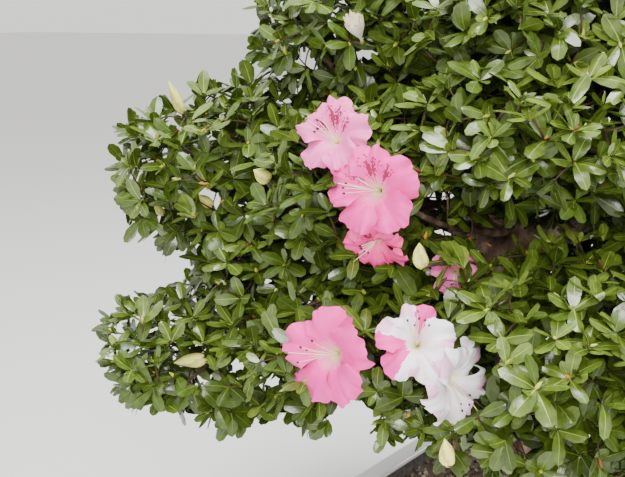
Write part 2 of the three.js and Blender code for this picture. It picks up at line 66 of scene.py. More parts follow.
# Pot and soil, as in the solids
POT_LENGTH = 574
POT_DEPTH = 420
POT_HEIGHT = 110
POT_CORNER = 40
RIM_WIDTH = 28
POT_WALL = 14
PLINTH_HEIGHT = 10
PLINTH_INSET = 40
BODY_FOOT_INSET = 34
BODY_TOP_INSET = RIM_WIDTH - POT_WALL
LIP_HEIGHT = 17
RIM_ROUND = 4.5
SOIL_EDGE_HEIGHT = 96
SOIL_HEIGHT = 98
SOIL_SHOULDER = 60
SEAT = 0.3

# Trunk
TRUNK_FOOT = np.array([-60.0, -5.0, SOIL_HEIGHT + SEAT])
TRUNK_LEAN = [
    (0, 0, -40), (-3, -6, 45), (-22, -18, 130),
    (-42, -30, 215), (-46, -28, 290), (-26, -10, 365),
    (-6, 6, 440), (-2, 10, 515), (-12, 4, 575),
]
TRUNK_FOOT_RADIUS = 50
TRUNK_TIP_RADIUS = 9
TRUNK_TAPER = 0.72
ROOT_COUNT = 5
ROOT_SPREAD = 46
ROOT_RIDGE = 0.45
ROOT_SKEW = 0.6
ROOT_RISE = 42
KNOT_SIZE = 2.2
KNOT_TWIST = 55

# Boughs
BOUGH_TIP_RADIUS = 6
BOUGH_BENDS = (0.3, 0.62)
BOUGH_SWAY = 18
BOUGH_WAVE = 14.4
BOUGH_SAG = 0.35
BOUGH_ENTRY = 0.72
BOUGH_DROP = 0.25
BOUGH_SEED = 900

# Foliage spaces: turn round the trunk, distance out, height, reach outwards, sideways and up,
# and the height and radius at which the bough leaves the trunk
SPACES = [
    ("low_left", 216, 332, 298, (158, 135, 72), (252, 15)),
    ("low_front_left", 254, 268, 334, (128, 138, 74), (284, 12)),
    ("low_front", 291, 282, 344, (125, 148, 102), (246, 14)),
    ("low_right", 342, 282, 325, (160, 145, 86), (266, 15)),
    ("low_back_right", 42, 285, 335, (150, 150, 85), (250, 14)),
    ("low_back", 100, 240, 330, (135, 155, 82), (280, 12)),
    ("low_back_left", 160, 275, 320, (150, 150, 82), (262, 13)),
    ("mid_left", 213, 322, 478, (154, 125, 98), (396, 12)),
    ("mid_front_left", 250, 250, 480, (115, 125, 90), (424, 10)),
    ("mid_front", 286, 235, 538, (118, 135, 70), (470, 10)),
    ("mid_right", 330, 255, 490, (150, 140, 88), (412, 12)),
    ("mid_back_right", 30, 250, 495, (145, 140, 88), (390, 11)),
    ("mid_back", 92, 215, 490, (130, 145, 88), (420, 10)),
    ("mid_back_left", 152, 250, 485, (145, 140, 88), (400, 11)),
    ("high_left", 222, 190, 622, (140, 125, 80), (530, 9)),
    ("high_front", 285, 165, 625, (125, 135, 84), (548, 8)),
    ("high_right", 350, 170, 632, (135, 135, 84), (524, 9)),
    ("high_back_right", 60, 160, 632, (125, 130, 80), (556, 8)),
    ("high_back", 135, 165, 625, (130, 135, 80), (538, 8)),
    ("crown_top", 200, 20, 735, (140, 120, 70), None),
    ("inner_left", 220, 272, 398, (122, 125, 62), (330, 10)),
]
CELL_MARGIN = 0.035
HEART_OUT = 0.05
HEART_UP = -0.1
STEM_LEAN = 0.4
STEM_FORKS = (0.35, 0.6, 0.8, 1)
TWIG_FORKS = (0.5, 0.95)
SHOOTS = 7
SHOOT_DEPTH = 0.74
SHOOT_HIGHEST = 0.9
SHOOT_SPAN = 1.6
CLEAR_OF_LIMBS = 10
FULL_TURN = 2 * math.pi
GOLDEN_TURN = math.pi * (3 - math.sqrt(5))

# Fine growth of each space, old wood and leaves inside and young sprays in the outer part: how
# many tips are tried, between which depths, and how far apart they stay
GROWTH = {"inner": (900, (0.12, 0.6), 27.0), "outer": (3200, (0.52, 0.94), 22.0)}
GROWTH_SEED = 4000
# The most places that twigs can start from, how far a fine twig strays and bows inwards by
# share of its reach, and how far along it the next ones can start
MOST_STARTS = 4000
SPRIG_STRAY = 0.05
SPRIG_BOW = 0.04
SPRIG_FORK = 0.93
# How far spray tips and leaves stay in the box and off limbs, then the share of a blossom's
# radius that they stay out of, with a margin
TIP_MARGINS = (5.0, 7.0, 0.7, 0.0)
LEAF_MARGINS = (0.5, 1.0, 0.55, 1.0)
# Where along its length a leaf is tested
LEAF_TESTS = (0.3, 0.65, 1.0)
CROWN_LOWERED = 0.6
STEM_RADII = (5.0, 2.8)
TWIG_RADII = (2.4, 1.5)
SPRIG_RADII = (1.1, 0.65)
STALK_RADII = (1.3, 1.2)

# Leaves: length and width, then the ranges of how far they curl down and bend aside, as shares
# of the length, and of the slope at which their halves fold
LEAF_SIZES = {"inner": (30.0, 15.0), "outer": (24.5, 12.8)}
LEAF_CURLS = (0.08, 0.42)
LEAF_BENDS = (-0.12, 0.12)
LEAF_FOLDS = (-0.5, 0.16)

# Sprays: the leaves in the heart are smaller, and splay less from the axis, than those round it
LEAVES_PER_SPRAY = 8
HEART_LEAVES = 2
HEART_SPLAYS = (0.3, 0.7)
HEART_SIZES = (0.5, 0.8)
OUTER_SPLAYS = (0.5, 1.3)
OUTER_SIZES = (0.8, 1.18)
SPRAY_SIZES = (0.84, 1.12)
# What pulls a spray's axis outwards, upwards and along its twig, and how far it strays
SPRAY_PULLS = (0.75, 0.55, 0.35)
SPRAY_STRAY = 0.32
# A young spray's tone in painted shade, what painted full light adds to sprays that face up and lie outwards
# and how far it strays, and the old, inner leaves' tones, lifted as painted light
SHADE_TONE = 0.7
LIGHT_TONES = 2.5
TONE_STRAY = 0.75
OLD_TONES_PAINTED_LIGHT = (1.4, 3.8)

# Blossoms: space, turn, distance, height, look turn, look rise, width, kind, roll of the
# lobes, and the way round the face that the stamens lean
BLOSSOMS = [
    ("mid_front_left", 257, 344, 537, 274, 30, 68, "pale", 0, 150),
    ("mid_front_left", 264.8, 347, 496, 278, 8, 80, "blotched", 8, 165),
    ("mid_front_left", 263.6, 332, 447, 285, -42, 58, "deep", 20, 200),
    ("low_front_left", 261.2, 378, 358, 265, 6, 89, "pink", -70, 175),
    ("low_front", 274, 380, 382, 290, 22, 68, "sectored", 0, 80),
    ("low_front", 278.2, 359, 348, 343, -12, 77, "blush", 30, -60),
    ("high_left", 251, 282, 622, 280, 40, 40, "withered", 0, -90),
    ("low_front", 273.9, 294, 424, 300, 12, 46, "pale", 0, -90),
    ("low_right", 335, 408, 372, 335, 15, 76, "pink", 15, 160),
    ("mid_right", 340, 372, 520, 345, 30, 78, "sectored", 0, 80),
    ("low_back_right", 50, 400, 375, 45, 20, 76, "blotched", -10, 150),
    ("mid_back", 84, 320, 520, 85, 25, 78, "pink", 0, 180),
    ("low_back_left", 165, 395, 362, 160, 15, 76, "blush", 10, 100),
    ("mid_back_left", 158, 360, 515, 150, 25, 78, "blotched", 0, 160),
    ("high_right", 338, 262, 668, 335, 40, 74, "deep", 5, 140),
]
# The row, counted from 0, of the blossom that stands half hidden among leaves
HIDDEN_BLOSSOM = 7
HIDDEN_RADIUS = 12
# The shares of a blossom's radius and a bud's length that nothing stands before
BLOSSOM_IN_VIEW = 0.82
BUD_IN_VIEW = 0.52
BLOSSOM_SEED = 7000
STAMENS = 5
FILAMENT_RADII = (0.5, 0.34)
PETALS = 5
PETAL_ROWS = 26
PETAL_COLUMNS = 35

# Buds: turn, distance, height, look turn, look rise, length, width
BUDS = [
    (211, 402, 554, 215, 68, 38, 12),
    (235, 334, 490, 250, 30, 20, 15),
    (222, 372, 456, 235, 40, 20, 11),
    (214, 420, 440, 214, 50, 18, 9),
    (227, 394, 302, 200, -12, 36, 15),
    (272, 345, 446, 280, 68, 25, 13),
    (279, 397, 302, 200, 80, 23, 13),
    (330, 330, 590, 330, 55, 26, 12),
    (20, 372, 420, 20, 35, 24, 12),
    (70, 340, 400, 75, 30, 28, 13),
    (120, 345, 470, 125, 40, 26, 12),
    (175, 395, 450, 175, 45, 28, 13),
    (150, 250, 690, 150, 60, 24, 12),
    (40, 230, 700, 40, 60, 24, 12),
    (305, 390, 400, 305, 25, 26, 12),
    (355, 385, 330, 355, 10, 24, 12),
]
BUD_SEED = 8000
BUD_SCALES = 5
SMALL_BUD_SHARE = 0.38
SMALL_BUD_LENGTHS = (6, 11)

# Sprays given one by one, which half hide a blossom and close the trunk's front off: right and up in
# mm at the trunk's distance, as for the gaps, and distance from the camera
SET_SPRAYS = {
    "low_front": [
        (141, -24, 1043), (155, -26, 1036), (161, -48, 1040), (176, -30, 1062),
        (184, -8, 1082), (200, -22, 1076), (222, -18, 1078), (228, -38, 1066),
        (246, -6, 1075), (272, 0, 1075), (300, 2, 1075),
    ],
    "mid_front": [
        (172, 40, 1145), (194, 44, 1145), (212, 33, 1140),
        (236, 30, 1145), (262, 24, 1145), (286, 30, 1145),
    ],
}

# A bare branch from the trunk's front across the gap: places as for the sprays, then the height
# at which it leaves the trunk and its radius at each end
BRANCH = [
    (213, 18, 1272), (196, 7, 1240), (170, 9, 1200),
    (143, 12, 1165), (113, 24, 1135), (90, 40, 1110),
]
BRANCH_HEIGHT = 429
BRANCH_RADII = (6.0, 3.0)

# Camera: turned and tipped as the photograph's was, in front of the plant's left half
CAMERA_TURN = 32.0
CAMERA_TIP = 10.2
CAMERA_HEIGHT = 640.0
CAMERA_DISTANCE = 1300.0
CAMERA_SIDESTEP = 260.0
CAMERA_LENS = 72.3
CAMERA_SENSOR = 36.0

# Gaps that can be seen right through the crown from the camera. Each is an oval, given by its
# middle and half sizes in mm at the trunk's distance, right of and above the middle of the view.
GAPS = [
    (-110, 44, 7, 9), (-99, 40, 7, 9), (-9, 191, 6, 15), (45, 192, 5, 11),
    (57, 193, 5, 9), (123, 44, 5, 8), (141, 46, 9, 5), (128, 28, 6, 7),
    (138, 8, 13, 5), (196, 14, 7, 6), (182, -5, 13, 6), (-9, -20, 5, 9),
    (-6, -60, 8, 7), (-46, -44, 5, 9), (-40, -148, 9, 11), (-80, -131, 8, 8),
    (40, -180, 24, 14), (41, -210, 23, 37), (72, -240, 38, 21), (165, -226, 8, 10),
    (218, -215, 15, 9),
]


# Numbers and directions

def seeded_random(seed):
    """One number after another between 0 and 1, the same as in the solids."""
    mask = 0xFFFFFFFF
    state = seed & mask

    def draw():
        nonlocal state
        state = (state + 0x6D2B79F5) & mask
        mixed = ((state ^ (state >> 15)) * (state | 1)) & mask
        mixed ^= (mixed + ((mixed ^ (mixed >> 7)) * (mixed | 61))) & mask
        return ((mixed ^ (mixed >> 14)) & mask) / 4294967296

    return draw


def unit(vectors):
    lengths = np.linalg.norm(vectors, axis=-1, keepdims=True)
    return vectors / np.maximum(lengths, 1e-9)


def pointing(turn, rise=0.0):
    """The direction at a turn round Z and a rise over level, in degrees."""
    turn = math.radians(turn)
    rise = math.radians(rise)
    level = math.cos(rise)
    return np.array([level * math.cos(turn), level * math.sin(turn), math.sin(rise)])


def square_to(ways):
    """Two directions square to each way and to each other."""
    sides = unit(np.cross(ways, ASKEW))
    return sides, np.cross(ways, sides)


def spokes(sides, others, turns):
    """Directions at turns, in radians, from a side round to the other."""
    return sides * np.cos(turns)[..., None] + others * np.sin(turns)[..., None]


def lattice_noise(points, seed=0):
    """Smooth noise between 0 and 1, with a new value at each whole step of place."""
    cell = np.floor(points).astype(np.int64)
    part = points - cell
    part = part * part * (3 - 2 * part)
    total = np.zeros(len(points))
    for corner in range(8):
        step = np.array([corner & 1, (corner >> 1) & 1, corner >> 2])
        place = cell + step
        mixed = place[:, 0] * 374761393 + place[:, 1] * 668265263 + place[:, 2] * 2147483647 + seed * 974711
        mixed = (mixed ^ (mixed >> 13)) * 1274126177 & 0xFFFFFFFF
        mixed = (mixed ^ (mixed >> 16)) & 0xFFFF
        weight = np.prod(np.where(step == 1, part, 1 - part), axis=1)
        total += weight * mixed / 0xFFFF
    return total


# The view from the camera

VIEW_RIGHT = pointing(CAMERA_TURN)
LEVEL_AHEAD = np.array([-VIEW_RIGHT[1], VIEW_RIGHT[0], 0.0])
TIP = math.radians(CAMERA_TIP)
VIEW_AHEAD = LEVEL_AHEAD * math.cos(TIP) - UP * math.sin(TIP)
VIEW_UP = np.cross(VIEW_RIGHT, VIEW_AHEAD)
CAMERA_PLACE = TRUNK_FOOT - VIEW_RIGHT * CAMERA_SIDESTEP - LEVEL_AHEAD * CAMERA_DISTANCE
CAMERA_PLACE[2] = CAMERA_HEIGHT


def in_gap(places):
    """Whether places lie in one of the gaps seen through the crown."""
    away = places - CAMERA_PLACE
    scale = CAMERA_DISTANCE / (away @ VIEW_AHEAD)
    right = (away @ VIEW_RIGHT) * scale
    up = (away @ VIEW_UP) * scale
    inside = np.zeros(places.shape[:-1], bool)
    for middle_right, middle_up, half_width, half_height in GAPS:
        inside |= ((right - middle_right) / half_width) ** 2 + ((up - middle_up) / half_height) ** 2 < 1
    return inside


# Curves

def spline_point(points, share):
    """A point on the smooth curve through the points, by share of its spans."""
    last = len(points) - 1
    place = last * share
    index = min(int(place), last - 1)
    weight = place - index
    before = points[index - 1] if index > 0 else 2 * points[0] - points[1]
    start = points[index]
    end = points[index + 1]
    after = points[index + 2] if index + 2 <= last else 2 * points[last] - points[last - 1]
    gap_in = math.sqrt(np.linalg.norm(start - before))
    gap = math.sqrt(np.linalg.norm(end - start))
    gap_out = math.sqrt(np.linalg.norm(after - end))
    leave = (start - before) / gap_in - (end - before) / (gap_in + gap) + (end - start) / gap
    arrive = (end - start) / gap - (after - start) / (gap + gap_out) + (after - end) / gap_out
    leave = leave * gap
    arrive = arrive * gap
    square = -3 * start + 3 * end - 2 * leave - arrive
    cube = 2 * start - 2 * end + leave + arrive
    return start + leave * weight + square * weight**2 + cube * weight**3


def even_line(points, count, samples=200):
    """count points at equal steps along the smooth curve through the points."""
    points = [np.asarray(point, float) for point in points]
    dense = np.array([spline_point(points, i / samples) for i in range(samples + 1)])
    travelled = np.concatenate([[0], np.cumsum(np.linalg.norm(np.diff(dense, axis=0), axis=1))])
    wanted = np.linspace(0, travelled[-1], count)
    return np.stack([np.interp(wanted, travelled, dense[:, k]) for k in range(3)], axis=1)


def nearest(places, place):
    """A copy of the one of some places that lies nearest to a place."""
    return places[np.linalg.norm(places - place, axis=1).argmin()].copy()


def curved(start, end, count, bow=0):
    """Points from start to end, straight or in a shallow bow."""
    shares = np.linspace(0, 1, count)[:, None]
    return start + (end - start) * shares + bow * 4 * shares * (1 - shares)


# Meshes

def show(name, data):
    """An object of the scene that shows a mesh, lamp or camera."""
    shown = bpy.data.objects.new(name, data)
    bpy.context.scene.collection.objects.link(shown)
    return shown


class Heap:
    """Many small meshes gathered into one."""

    def __init__(self):
        self.verts = []
        self.faces = {3: [], 4: []}
        self.slots = {3: [], 4: []}
        self.count = 0

    def add(self, verts, blocks, slots):
        """Vertices, face arrays and the slot, or slots, of each face array."""
        verts = np.asarray(verts, float).reshape(-1, 3)
        for block, slot in zip(blocks, slots):
            block = np.asarray(block, np.int64)
            self.faces[block.shape[1]].append(block + self.count)
            self.slots[block.shape[1]].append(np.broadcast_to(slot, len(block)))
        self.verts.append(verts)
        self.count += len(verts)

    def piece(self, name, materials, smooth=True):
        """One object of all that was gathered, from millimetres to metres."""
        kinds = [corners for corners in (3, 4) if self.faces[corners]]
        faces = [np.concatenate(self.faces[corners]) for corners in kinds]
        slots = np.concatenate([block for corners in kinds for block in self.slots[corners]])
        loops = np.concatenate([block.ravel() for block in faces])
        counts = np.repeat(kinds, [len(block) for block in faces])
        mesh = bpy.data.meshes.new(name)
        mesh.vertices.add(self.count)
        mesh.vertices.foreach_set("co", (np.concatenate(self.verts) * MM).ravel().astype(np.float32))
        mesh.loops.add(len(loops))
        mesh.loops.foreach_set("vertex_index", loops.astype(np.int32))
        mesh.polygons.add(len(counts))
        mesh.polygons.foreach_set("loop_start", (np.cumsum(counts) - counts).astype(np.int32))
        for material in materials:
            mesh.materials.append(material)
        mesh.polygons.foreach_set("material_index", slots.astype(np.int32))
        mesh.polygons.foreach_set("use_smooth", np.full(len(counts), smooth))
        mesh.update(calc_edges=True)
        mesh.validate()
        return show(name, mesh)


def tube_faces(rings, sides):
    """Quads round the wall of a tube."""
    i, j = np.meshgrid(np.arange(rings - 1), np.arange(sides), indexing="ij")
    a = i * sides + j
    b = i * sides + (j + 1) % sides
    return np.stack([a, b, b + sides, a + sides], axis=-1).reshape(-1, 4)


def cap_faces(rings, sides):
    """Fans that close a tube's ends round its two last vertices."""
    j = np.arange(sides)
    middle = rings * sides
    last = (rings - 1) * sides
    foot = np.stack([(j + 1) % sides, j, np.full(sides, middle)], axis=1)
    tip = np.stack([last + j, last + (j + 1) % sides, np.full(sides, middle + 1)], axis=1)
    return np.concatenate([foot, tip])


def grid_faces(rows, columns):
    i, j = np.meshgrid(np.arange(rows - 1), np.arange(columns - 1), indexing="ij")
    a = i * columns + j
    return np.stack([a, a + 1, a + columns + 1, a + columns], axis=-1).reshape(-1, 4)


def repeated(faces, number, each):
    """The faces of number copies of a mesh of each vertices."""
    offset = (np.arange(number) * each)[:, None, None]
    return (faces[None] + offset).reshape(-1, faces.shape[1])


def add_tubes(heap, lines, radii, sides, slot):
    """Closed tubes along lines (number, points, 3), with radii (number or 1, points)."""
    lines = np.asarray(lines, float)
    radii = np.asarray(radii, float)
    number, points, _ = lines.shape
    side, other = square_to(unit(np.gradient(lines, axis=1)))
    ring = spokes(side[:, :, None], other[:, :, None], np.arange(sides) * FULL_TURN / sides)
    verts = (lines[:, :, None] + ring * radii[:, :, None, None]).reshape(number, points * sides, 3)
    verts = np.concatenate([verts, lines[:, [0, -1]]], axis=1)
    each = points * sides + 2
    blocks = [
        repeated(tube_faces(points, sides), number, each),
        repeated(cap_faces(points, sides), number, each),
    ]
    heap.add(verts, blocks, [slot, slot])


def add_tapering(heap, lines, ends, sides, slot):
    """Closed tubes that taper evenly from one radius to another."""
    add_tubes(heap, lines, [np.linspace(*ends, len(lines[0]))], sides, slot)


# Materials

def paint(red, green, blue):
    """A colour as light, from the 0 to 255 numbers that a screen shows it by."""
    shares = [channel / 255 for channel in (red, green, blue)]
    return tuple(s / 12.92 if s <= 0.04045 else ((s + 0.055) / 1.055) ** 2.4 for s in shares)


def blend(first, second, share):
    return tuple(a + (b - a) * share for a, b in zip(first, second))


def toned(color, *factors):
    """Darker and lighter tones of a colour, by factors."""
    return [tuple(min(channel * factor, 1.0) for channel in color) for factor in factors]


def new_material(name, color, roughness, coat=0.0, gloss=0.5):
    material = bpy.data.materials.new(name)
    material.use_nodes = True
    shader = material.node_tree.nodes["Principled BSDF"]
    shader.inputs["Base Color"].default_value = (*color, 1.0)
    shader.inputs["Roughness"].default_value = roughness
    shader.inputs["Coat Weight"].default_value = coat
    shader.inputs["Specular IOR Level"].default_value = gloss
    return material


def fed_by_noise(material, kind, entry, result, socket, scale, detail, stretch=(1, 1, 1)):
    """A node that noise feeds, by its entry, and whose result feeds a socket of the shader."""
    nodes = material.node_tree.nodes
    place = nodes.new("ShaderNodeTexCoord")
    mapping = nodes.new("ShaderNodeMapping")
    mapping.inputs["Scale"].default_value = stretch
    pattern = nodes.new("ShaderNodeTexNoise")
    pattern.inputs["Scale"].default_value = scale
    pattern.inputs["Detail"].default_value = detail
    node = nodes.new(kind)
    link = material.node_tree.links.new
    link(place.outputs["Object"], mapping.inputs["Vector"])
    link(mapping.outputs["Vector"], pattern.inputs["Vector"])
    link(pattern.outputs["Fac"], node.inputs[entry])
    link(node.outputs[result], nodes["Principled BSDF"].inputs[socket])
    return node


def speckle(material, tones, scale, detail=3.0, stretch=(1, 1, 1)):
    """Colour that wanders between tones with the surface's own place."""
    ramp = fed_by_noise(material, "ShaderNodeValToRGB", "Fac", "Color", "Base Color", scale, detail, stretch)
    elements = ramp.color_ramp.elements
    while len(elements) < len(tones):
        elements.new(0.5)
    for index, color in enumerate(tones):
        elements[index].position = 0.32 + 0.36 * index / (len(tones) - 1)
        elements[index].color = (*color, 1)


def relief(material, scale, distance, strength=1.0, detail=4.0):
    """Fine bumps from noise."""
    bump = fed_by_noise(material, "ShaderNodeBump", "Height", "Normal", "Normal", scale, detail)
    bump.inputs["Strength"].default_value = strength
    bump.inputs["Distance"].default_value = distance


def surface(name, color, roughness, tones, scale, detail=3.0, stretch=(1, 1, 1), bumps=(), **more):
    """A material with noisy tones, and bumps given by scale, distance, strength and detail."""
    material = new_material(name, color, roughness, **more)
    speckle(material, tones, scale, detail, stretch)
    if bumps:
        relief(material, *bumps)
    return material


# Leaf tones from deep to young. Sprays get them partly as painted light and shade (see spray_leaves) and
# partly at random
LEAF_COLORS = {
    "leaf_deep": paint(54, 68, 22),
    "leaf_dark": paint(64, 81, 26),
    "leaf_green": paint(74, 94, 30),
    "leaf_fresh": paint(87, 109, 36),
    "leaf_light": paint(103, 125, 44),
    "leaf_young": paint(132, 149, 60),
}
LEAF_TONES = len(LEAF_COLORS)
RIB_DARK = LEAF_TONES
RIB_LIGHT = LEAF_TONES + 1
LIGHT_FROM_TONE = 3
LEAF_GLOSS = [0.45, 0.45, 0.55, 0.7, 0.85, 0.85]


leaf_materials = [
    surface(name, color, 0.22, toned(color, 0.75, 1, 1.25), 150.0, bumps=(420.0, 0.0005, 0.35), gloss=gloss)
    for (name, color), gloss in zip(LEAF_COLORS.items(), LEAF_GLOSS)
]
leaf_materials.append(new_material("leaf_rib_dark", paint(98, 120, 44), 0.4))
leaf_materials.append(new_material("leaf_rib_light", paint(150, 172, 80), 0.4))

# Petals pass through steps of colour from throat to rim
PETAL_STEPS = 6
PETAL_RIMS = {
    "pale": (paint(253, 172, 206), paint(254, 110, 186)),
    "rose": (paint(252, 176, 196), paint(255, 56, 166)),
    "deep": (paint(252, 112, 160), paint(255, 62, 150)),
    "white": (paint(244, 238, 214), paint(255, 244, 251)),
}
PETAL_COLORS = {
    "throat": paint(240, 234, 176),
    "blotch": paint(160, 0, 74),
    "freckle": paint(190, 8, 96),
}
for rim_name, (inner_color, rim_color) in PETAL_RIMS.items():
    for step in range(PETAL_STEPS):
        share = step / (PETAL_STEPS - 1)
        PETAL_COLORS[f"{rim_name}_{step}"] = blend(inner_color, rim_color, share)
PETAL_COLORS.update(
    blush=paint(248, 190, 220),
    straw=paint(206, 170, 128),
    cream=paint(242, 238, 124),
    cream_green=paint(206, 208, 116),
    filament=paint(252, 220, 208),
    anther=paint(70, 26, 34),
    calyx=paint(112, 128, 48),
    bud_green=paint(186, 192, 70),
    bud_orange=paint(206, 146, 48),
    bud_brown=paint(122, 66, 36),
)
PETAL = {name: index for index, name in enumerate(PETAL_COLORS)}


petal_materials = [
    surface("petal_" + name, color, 0.55, toned(color, 0.92, 1.06), 60.0, bumps=(500.0, 0.0004, 0.5))
    for name, color in PETAL_COLORS.items()
]

bark_tones = [paint(62, 46, 36), paint(132, 105, 84), paint(188, 166, 142)]
bark_bumps = (300.0, 0.0026, 1.0, 8.0)
bark_material = surface(
    "bark_brown", paint(84, 66, 54), 0.85, bark_tones, 60.0, 8.0, stretch=(1, 1, 0.3), bumps=bark_bumps
)
OLD_WOOD, NEW_WOOD = range(2)
twig_materials = [
    surface("twig_bark", paint(58, 40, 32), 0.8, [paint(40, 27, 22), paint(88, 66, 52)], 90.0),
    surface("sprig_bark", paint(70, 46, 28), 0.7, [paint(50, 30, 20), paint(92, 66, 38)], 110.0),
]

GLAZE, CLAY = range(2)
glaze_tones = [paint(242, 242, 238), paint(253, 253, 253)]
clay_tones = [paint(66, 61, 59), paint(104, 98, 93)]
pot_materials = [
    surface(
        "pot_glaze", paint(248, 248, 246), 0.16, glaze_tones, 14.0, 6.0, bumps=(60.0, 0.0006, 0.25), coat=0.35
    ),
    surface("pot_clay", paint(84, 79, 76), 0.8, clay_tones, 120.0, bumps=(500.0, 0.0008, 0.7)),
]

GRAIN_COLORS = {
    "grain_brown": paint(126, 106, 86),
    "grain_tan": paint(176, 158, 132),
    "grain_grey": paint(152, 146, 136),
    "grain_pale": paint(214, 202, 184),
    "grain_dark": paint(84, 72, 62),
}
GRAIN_SHARES = [0.34, 0.25, 0.18, 0.12, 0.11]
grain_materials = [
    surface(name, color, 0.9, toned(color, 0.8, 1.2), 260.0, bumps=(1400.0, 0.0005, 0.8))
    for name, color in GRAIN_COLORS.items()
]


# Trunk and boughs

TRUNK_LINE = even_line([TRUNK_FOOT + np.array(point, float) for point in TRUNK_LEAN], 201)


def trunk_radius(height):
    share = np.clip(height / TRUNK_LEAN[-1][2], 0, 1)
    return TRUNK_FOOT_RADIUS + (TRUNK_TIP_RADIUS - TRUNK_FOOT_RADIUS) * share**TRUNK_TAPER


def trunk_point_at(height):
    return TRUNK_LINE[np.searchsorted(TRUNK_LINE[:, 2], height)]


def around_trunk(turn, out, height):
    """The place at a turn round the trunk's foot, a distance out and a height."""
    place = TRUNK_FOOT + pointing(turn) * out
    place[2] = height
    return place


class Space:
    """One foliage space: an ellipsoid turned to face away from the trunk."""

    def __init__(self, index, row):
        self.index = index
        self.name, self.turn, out, self.height, reach, self.bough = row
        self.middle = around_trunk(self.turn, out, self.height)
        self.reach = np.array(reach, float)
        outward = pointing(self.turn)
        self.axes = np.array([outward, [-outward[1], outward[0], 0.0], UP])

    def place(self, shares):
        """Places at shares of the reach outwards, sideways and up."""
        return self.middle + (np.asarray(shares, float) * self.reach) @ self.axes

    def depth(self, places):
        """0 in the middle of the space, 1 on its outside."""
        return np.linalg.norm((places - self.middle) @ self.axes.T / self.reach, axis=-1)

    def normals(self, places):
        return unit((places - self.middle) @ self.axes.T / self.reach**2 @ self.axes)


spaces = [Space(index, row) for index, row in enumerate(SPACES)]


def owned(space, places, margin=CELL_MARGIN):
    own = space.depth(places)
    keeps = np.ones(places.shape[:-1], bool)
    for other in spaces:
        if other is not space:
            keeps &= other.depth(places) > own + margin
    return keeps


def bough_line(space):
    random = seeded_random(BOUGH_SEED + space.index)
    foot = trunk_point_at(space.bough[0])
    tip = space.place([-BOUGH_ENTRY, 0, -BOUGH_DROP])
    along = tip - foot
    side = unit(np.cross(along, UP))
    points = [foot]
    for share in BOUGH_BENDS:
        point = foot + along * share + side * (random() - 0.5) * BOUGH_SWAY
        point[2] += (random() - BOUGH_SAG) * BOUGH_WAVE
        points.append(point)
    points.append(tip)
    return even_line(points, 61)


class Limb:
    """A line of wood with its radius at each point."""

    def __init__(self, line, radii):
        self.line = line
        self.radii = radii
        self.ways = unit(np.gradient(line, axis=0))


trunk_limb = Limb(TRUNK_LINE, trunk_radius(TRUNK_LINE[:, 2] - TRUNK_FOOT[2]))
bough_limbs = {}
for space in spaces:
    if space.bough:
        line = bough_line(space)
        bough_limbs[space.name] = Limb(line, np.linspace(space.bough[1], BOUGH_TIP_RADIUS, len(line)))
limbs = [trunk_limb, *bough_limbs.values()]


def view_place(right, up, distance):
    """The place that the camera sees right of and above its middle, at a distance."""
    way = VIEW_AHEAD + (VIEW_RIGHT * right + VIEW_UP * up) / CAMERA_DISTANCE
    return CAMERA_PLACE + way * distance


branch_line = even_line([trunk_point_at(BRANCH_HEIGHT), *(view_place(*row) for row in BRANCH)], 61)
branch_limb = Limb(branch_line, np.linspace(*BRANCH_RADII, len(branch_line)))
bare_part = slice(20, 54, 3)
LIMB_CENTRES = np.concatenate([limb.line[::2] for limb in limbs])
LIMB_RADII = np.concatenate([limb.radii[::2] for limb in limbs])
BLOSSOM_CENTRES = np.array([around_trunk(*row[1:4]) for row in BLOSSOMS])
BLOSSOM_RADII = np.array([row[6] / 2 for row in BLOSSOMS])
BUD_CENTRES = np.array([around_trunk(*row[:3]) for row in BUDS])
BUD_RADII = np.array([row[5] * BUD_IN_VIEW for row in BUDS])
SHOWN_CENTRES = np.concatenate([BLOSSOM_CENTRES, BUD_CENTRES, branch_limb.line[bare_part]])
SHOWN_RADII = np.concatenate([BLOSSOM_RADII * BLOSSOM_IN_VIEW, BUD_RADII, branch_limb.radii[bare_part] + 2])
SHOWN_RADII[HIDDEN_BLOSSOM] = 0
BLOSSOM_RADII[HIDDEN_BLOSSOM] = HIDDEN_RADIUS
BOX_LOW = np.array(cad_box[0]) / MM
BOX_HIGH = np.array(cad_box[1]) / MM


def clear_of(places, centres, radii, margin):
    keeps = np.ones(places.shape[:-1], bool)
    for centre, radius in zip(centres, radii):
        keeps &= np.linalg.norm(places - centre, axis=-1) > radius + margin
    return keeps


def hides_bloom(places):
    """Whether places stand in front of a blossom, bud or the bare branch, seen from outside."""
    hides = np.zeros(places.shape[:-1], bool)
    for centre, radius in zip(SHOWN_CENTRES, SHOWN_RADII):
        if (centre - CAMERA_PLACE) @ VIEW_AHEAD < CAMERA_DISTANCE + 40:
            toward = unit(CAMERA_PLACE - centre)
        else:
            toward = unit((centre - TRUNK_FOOT) * [1, 1, 0])
        away = places - centre
        ahead = away @ toward
        aside = np.linalg.norm(away - ahead[..., None] * toward, axis=-1)
        hides |= (ahead > -4) & (aside < radius)
    return hides


def inside_box(places, margin):
    return ((places > BOX_LOW + margin) & (places < BOX_HIGH - margin)).all(axis=-1)


def fitting(places, box_margin, limb_margin, blossom_share, blossom_margin):
    """Whether places stay in the box and out of limbs, blossoms, gaps and the view to blossoms."""
    keeps = inside_box(places, box_margin)
    keeps &= clear_of(places, LIMB_CENTRES, LIMB_RADII, limb_margin)
    keeps &= clear_of(places, BLOSSOM_CENTRES, BLOSSOM_RADII * blossom_share, blossom_margin)
    return keeps & ~in_gap(places) & ~hides_bloom(places)


# Growth

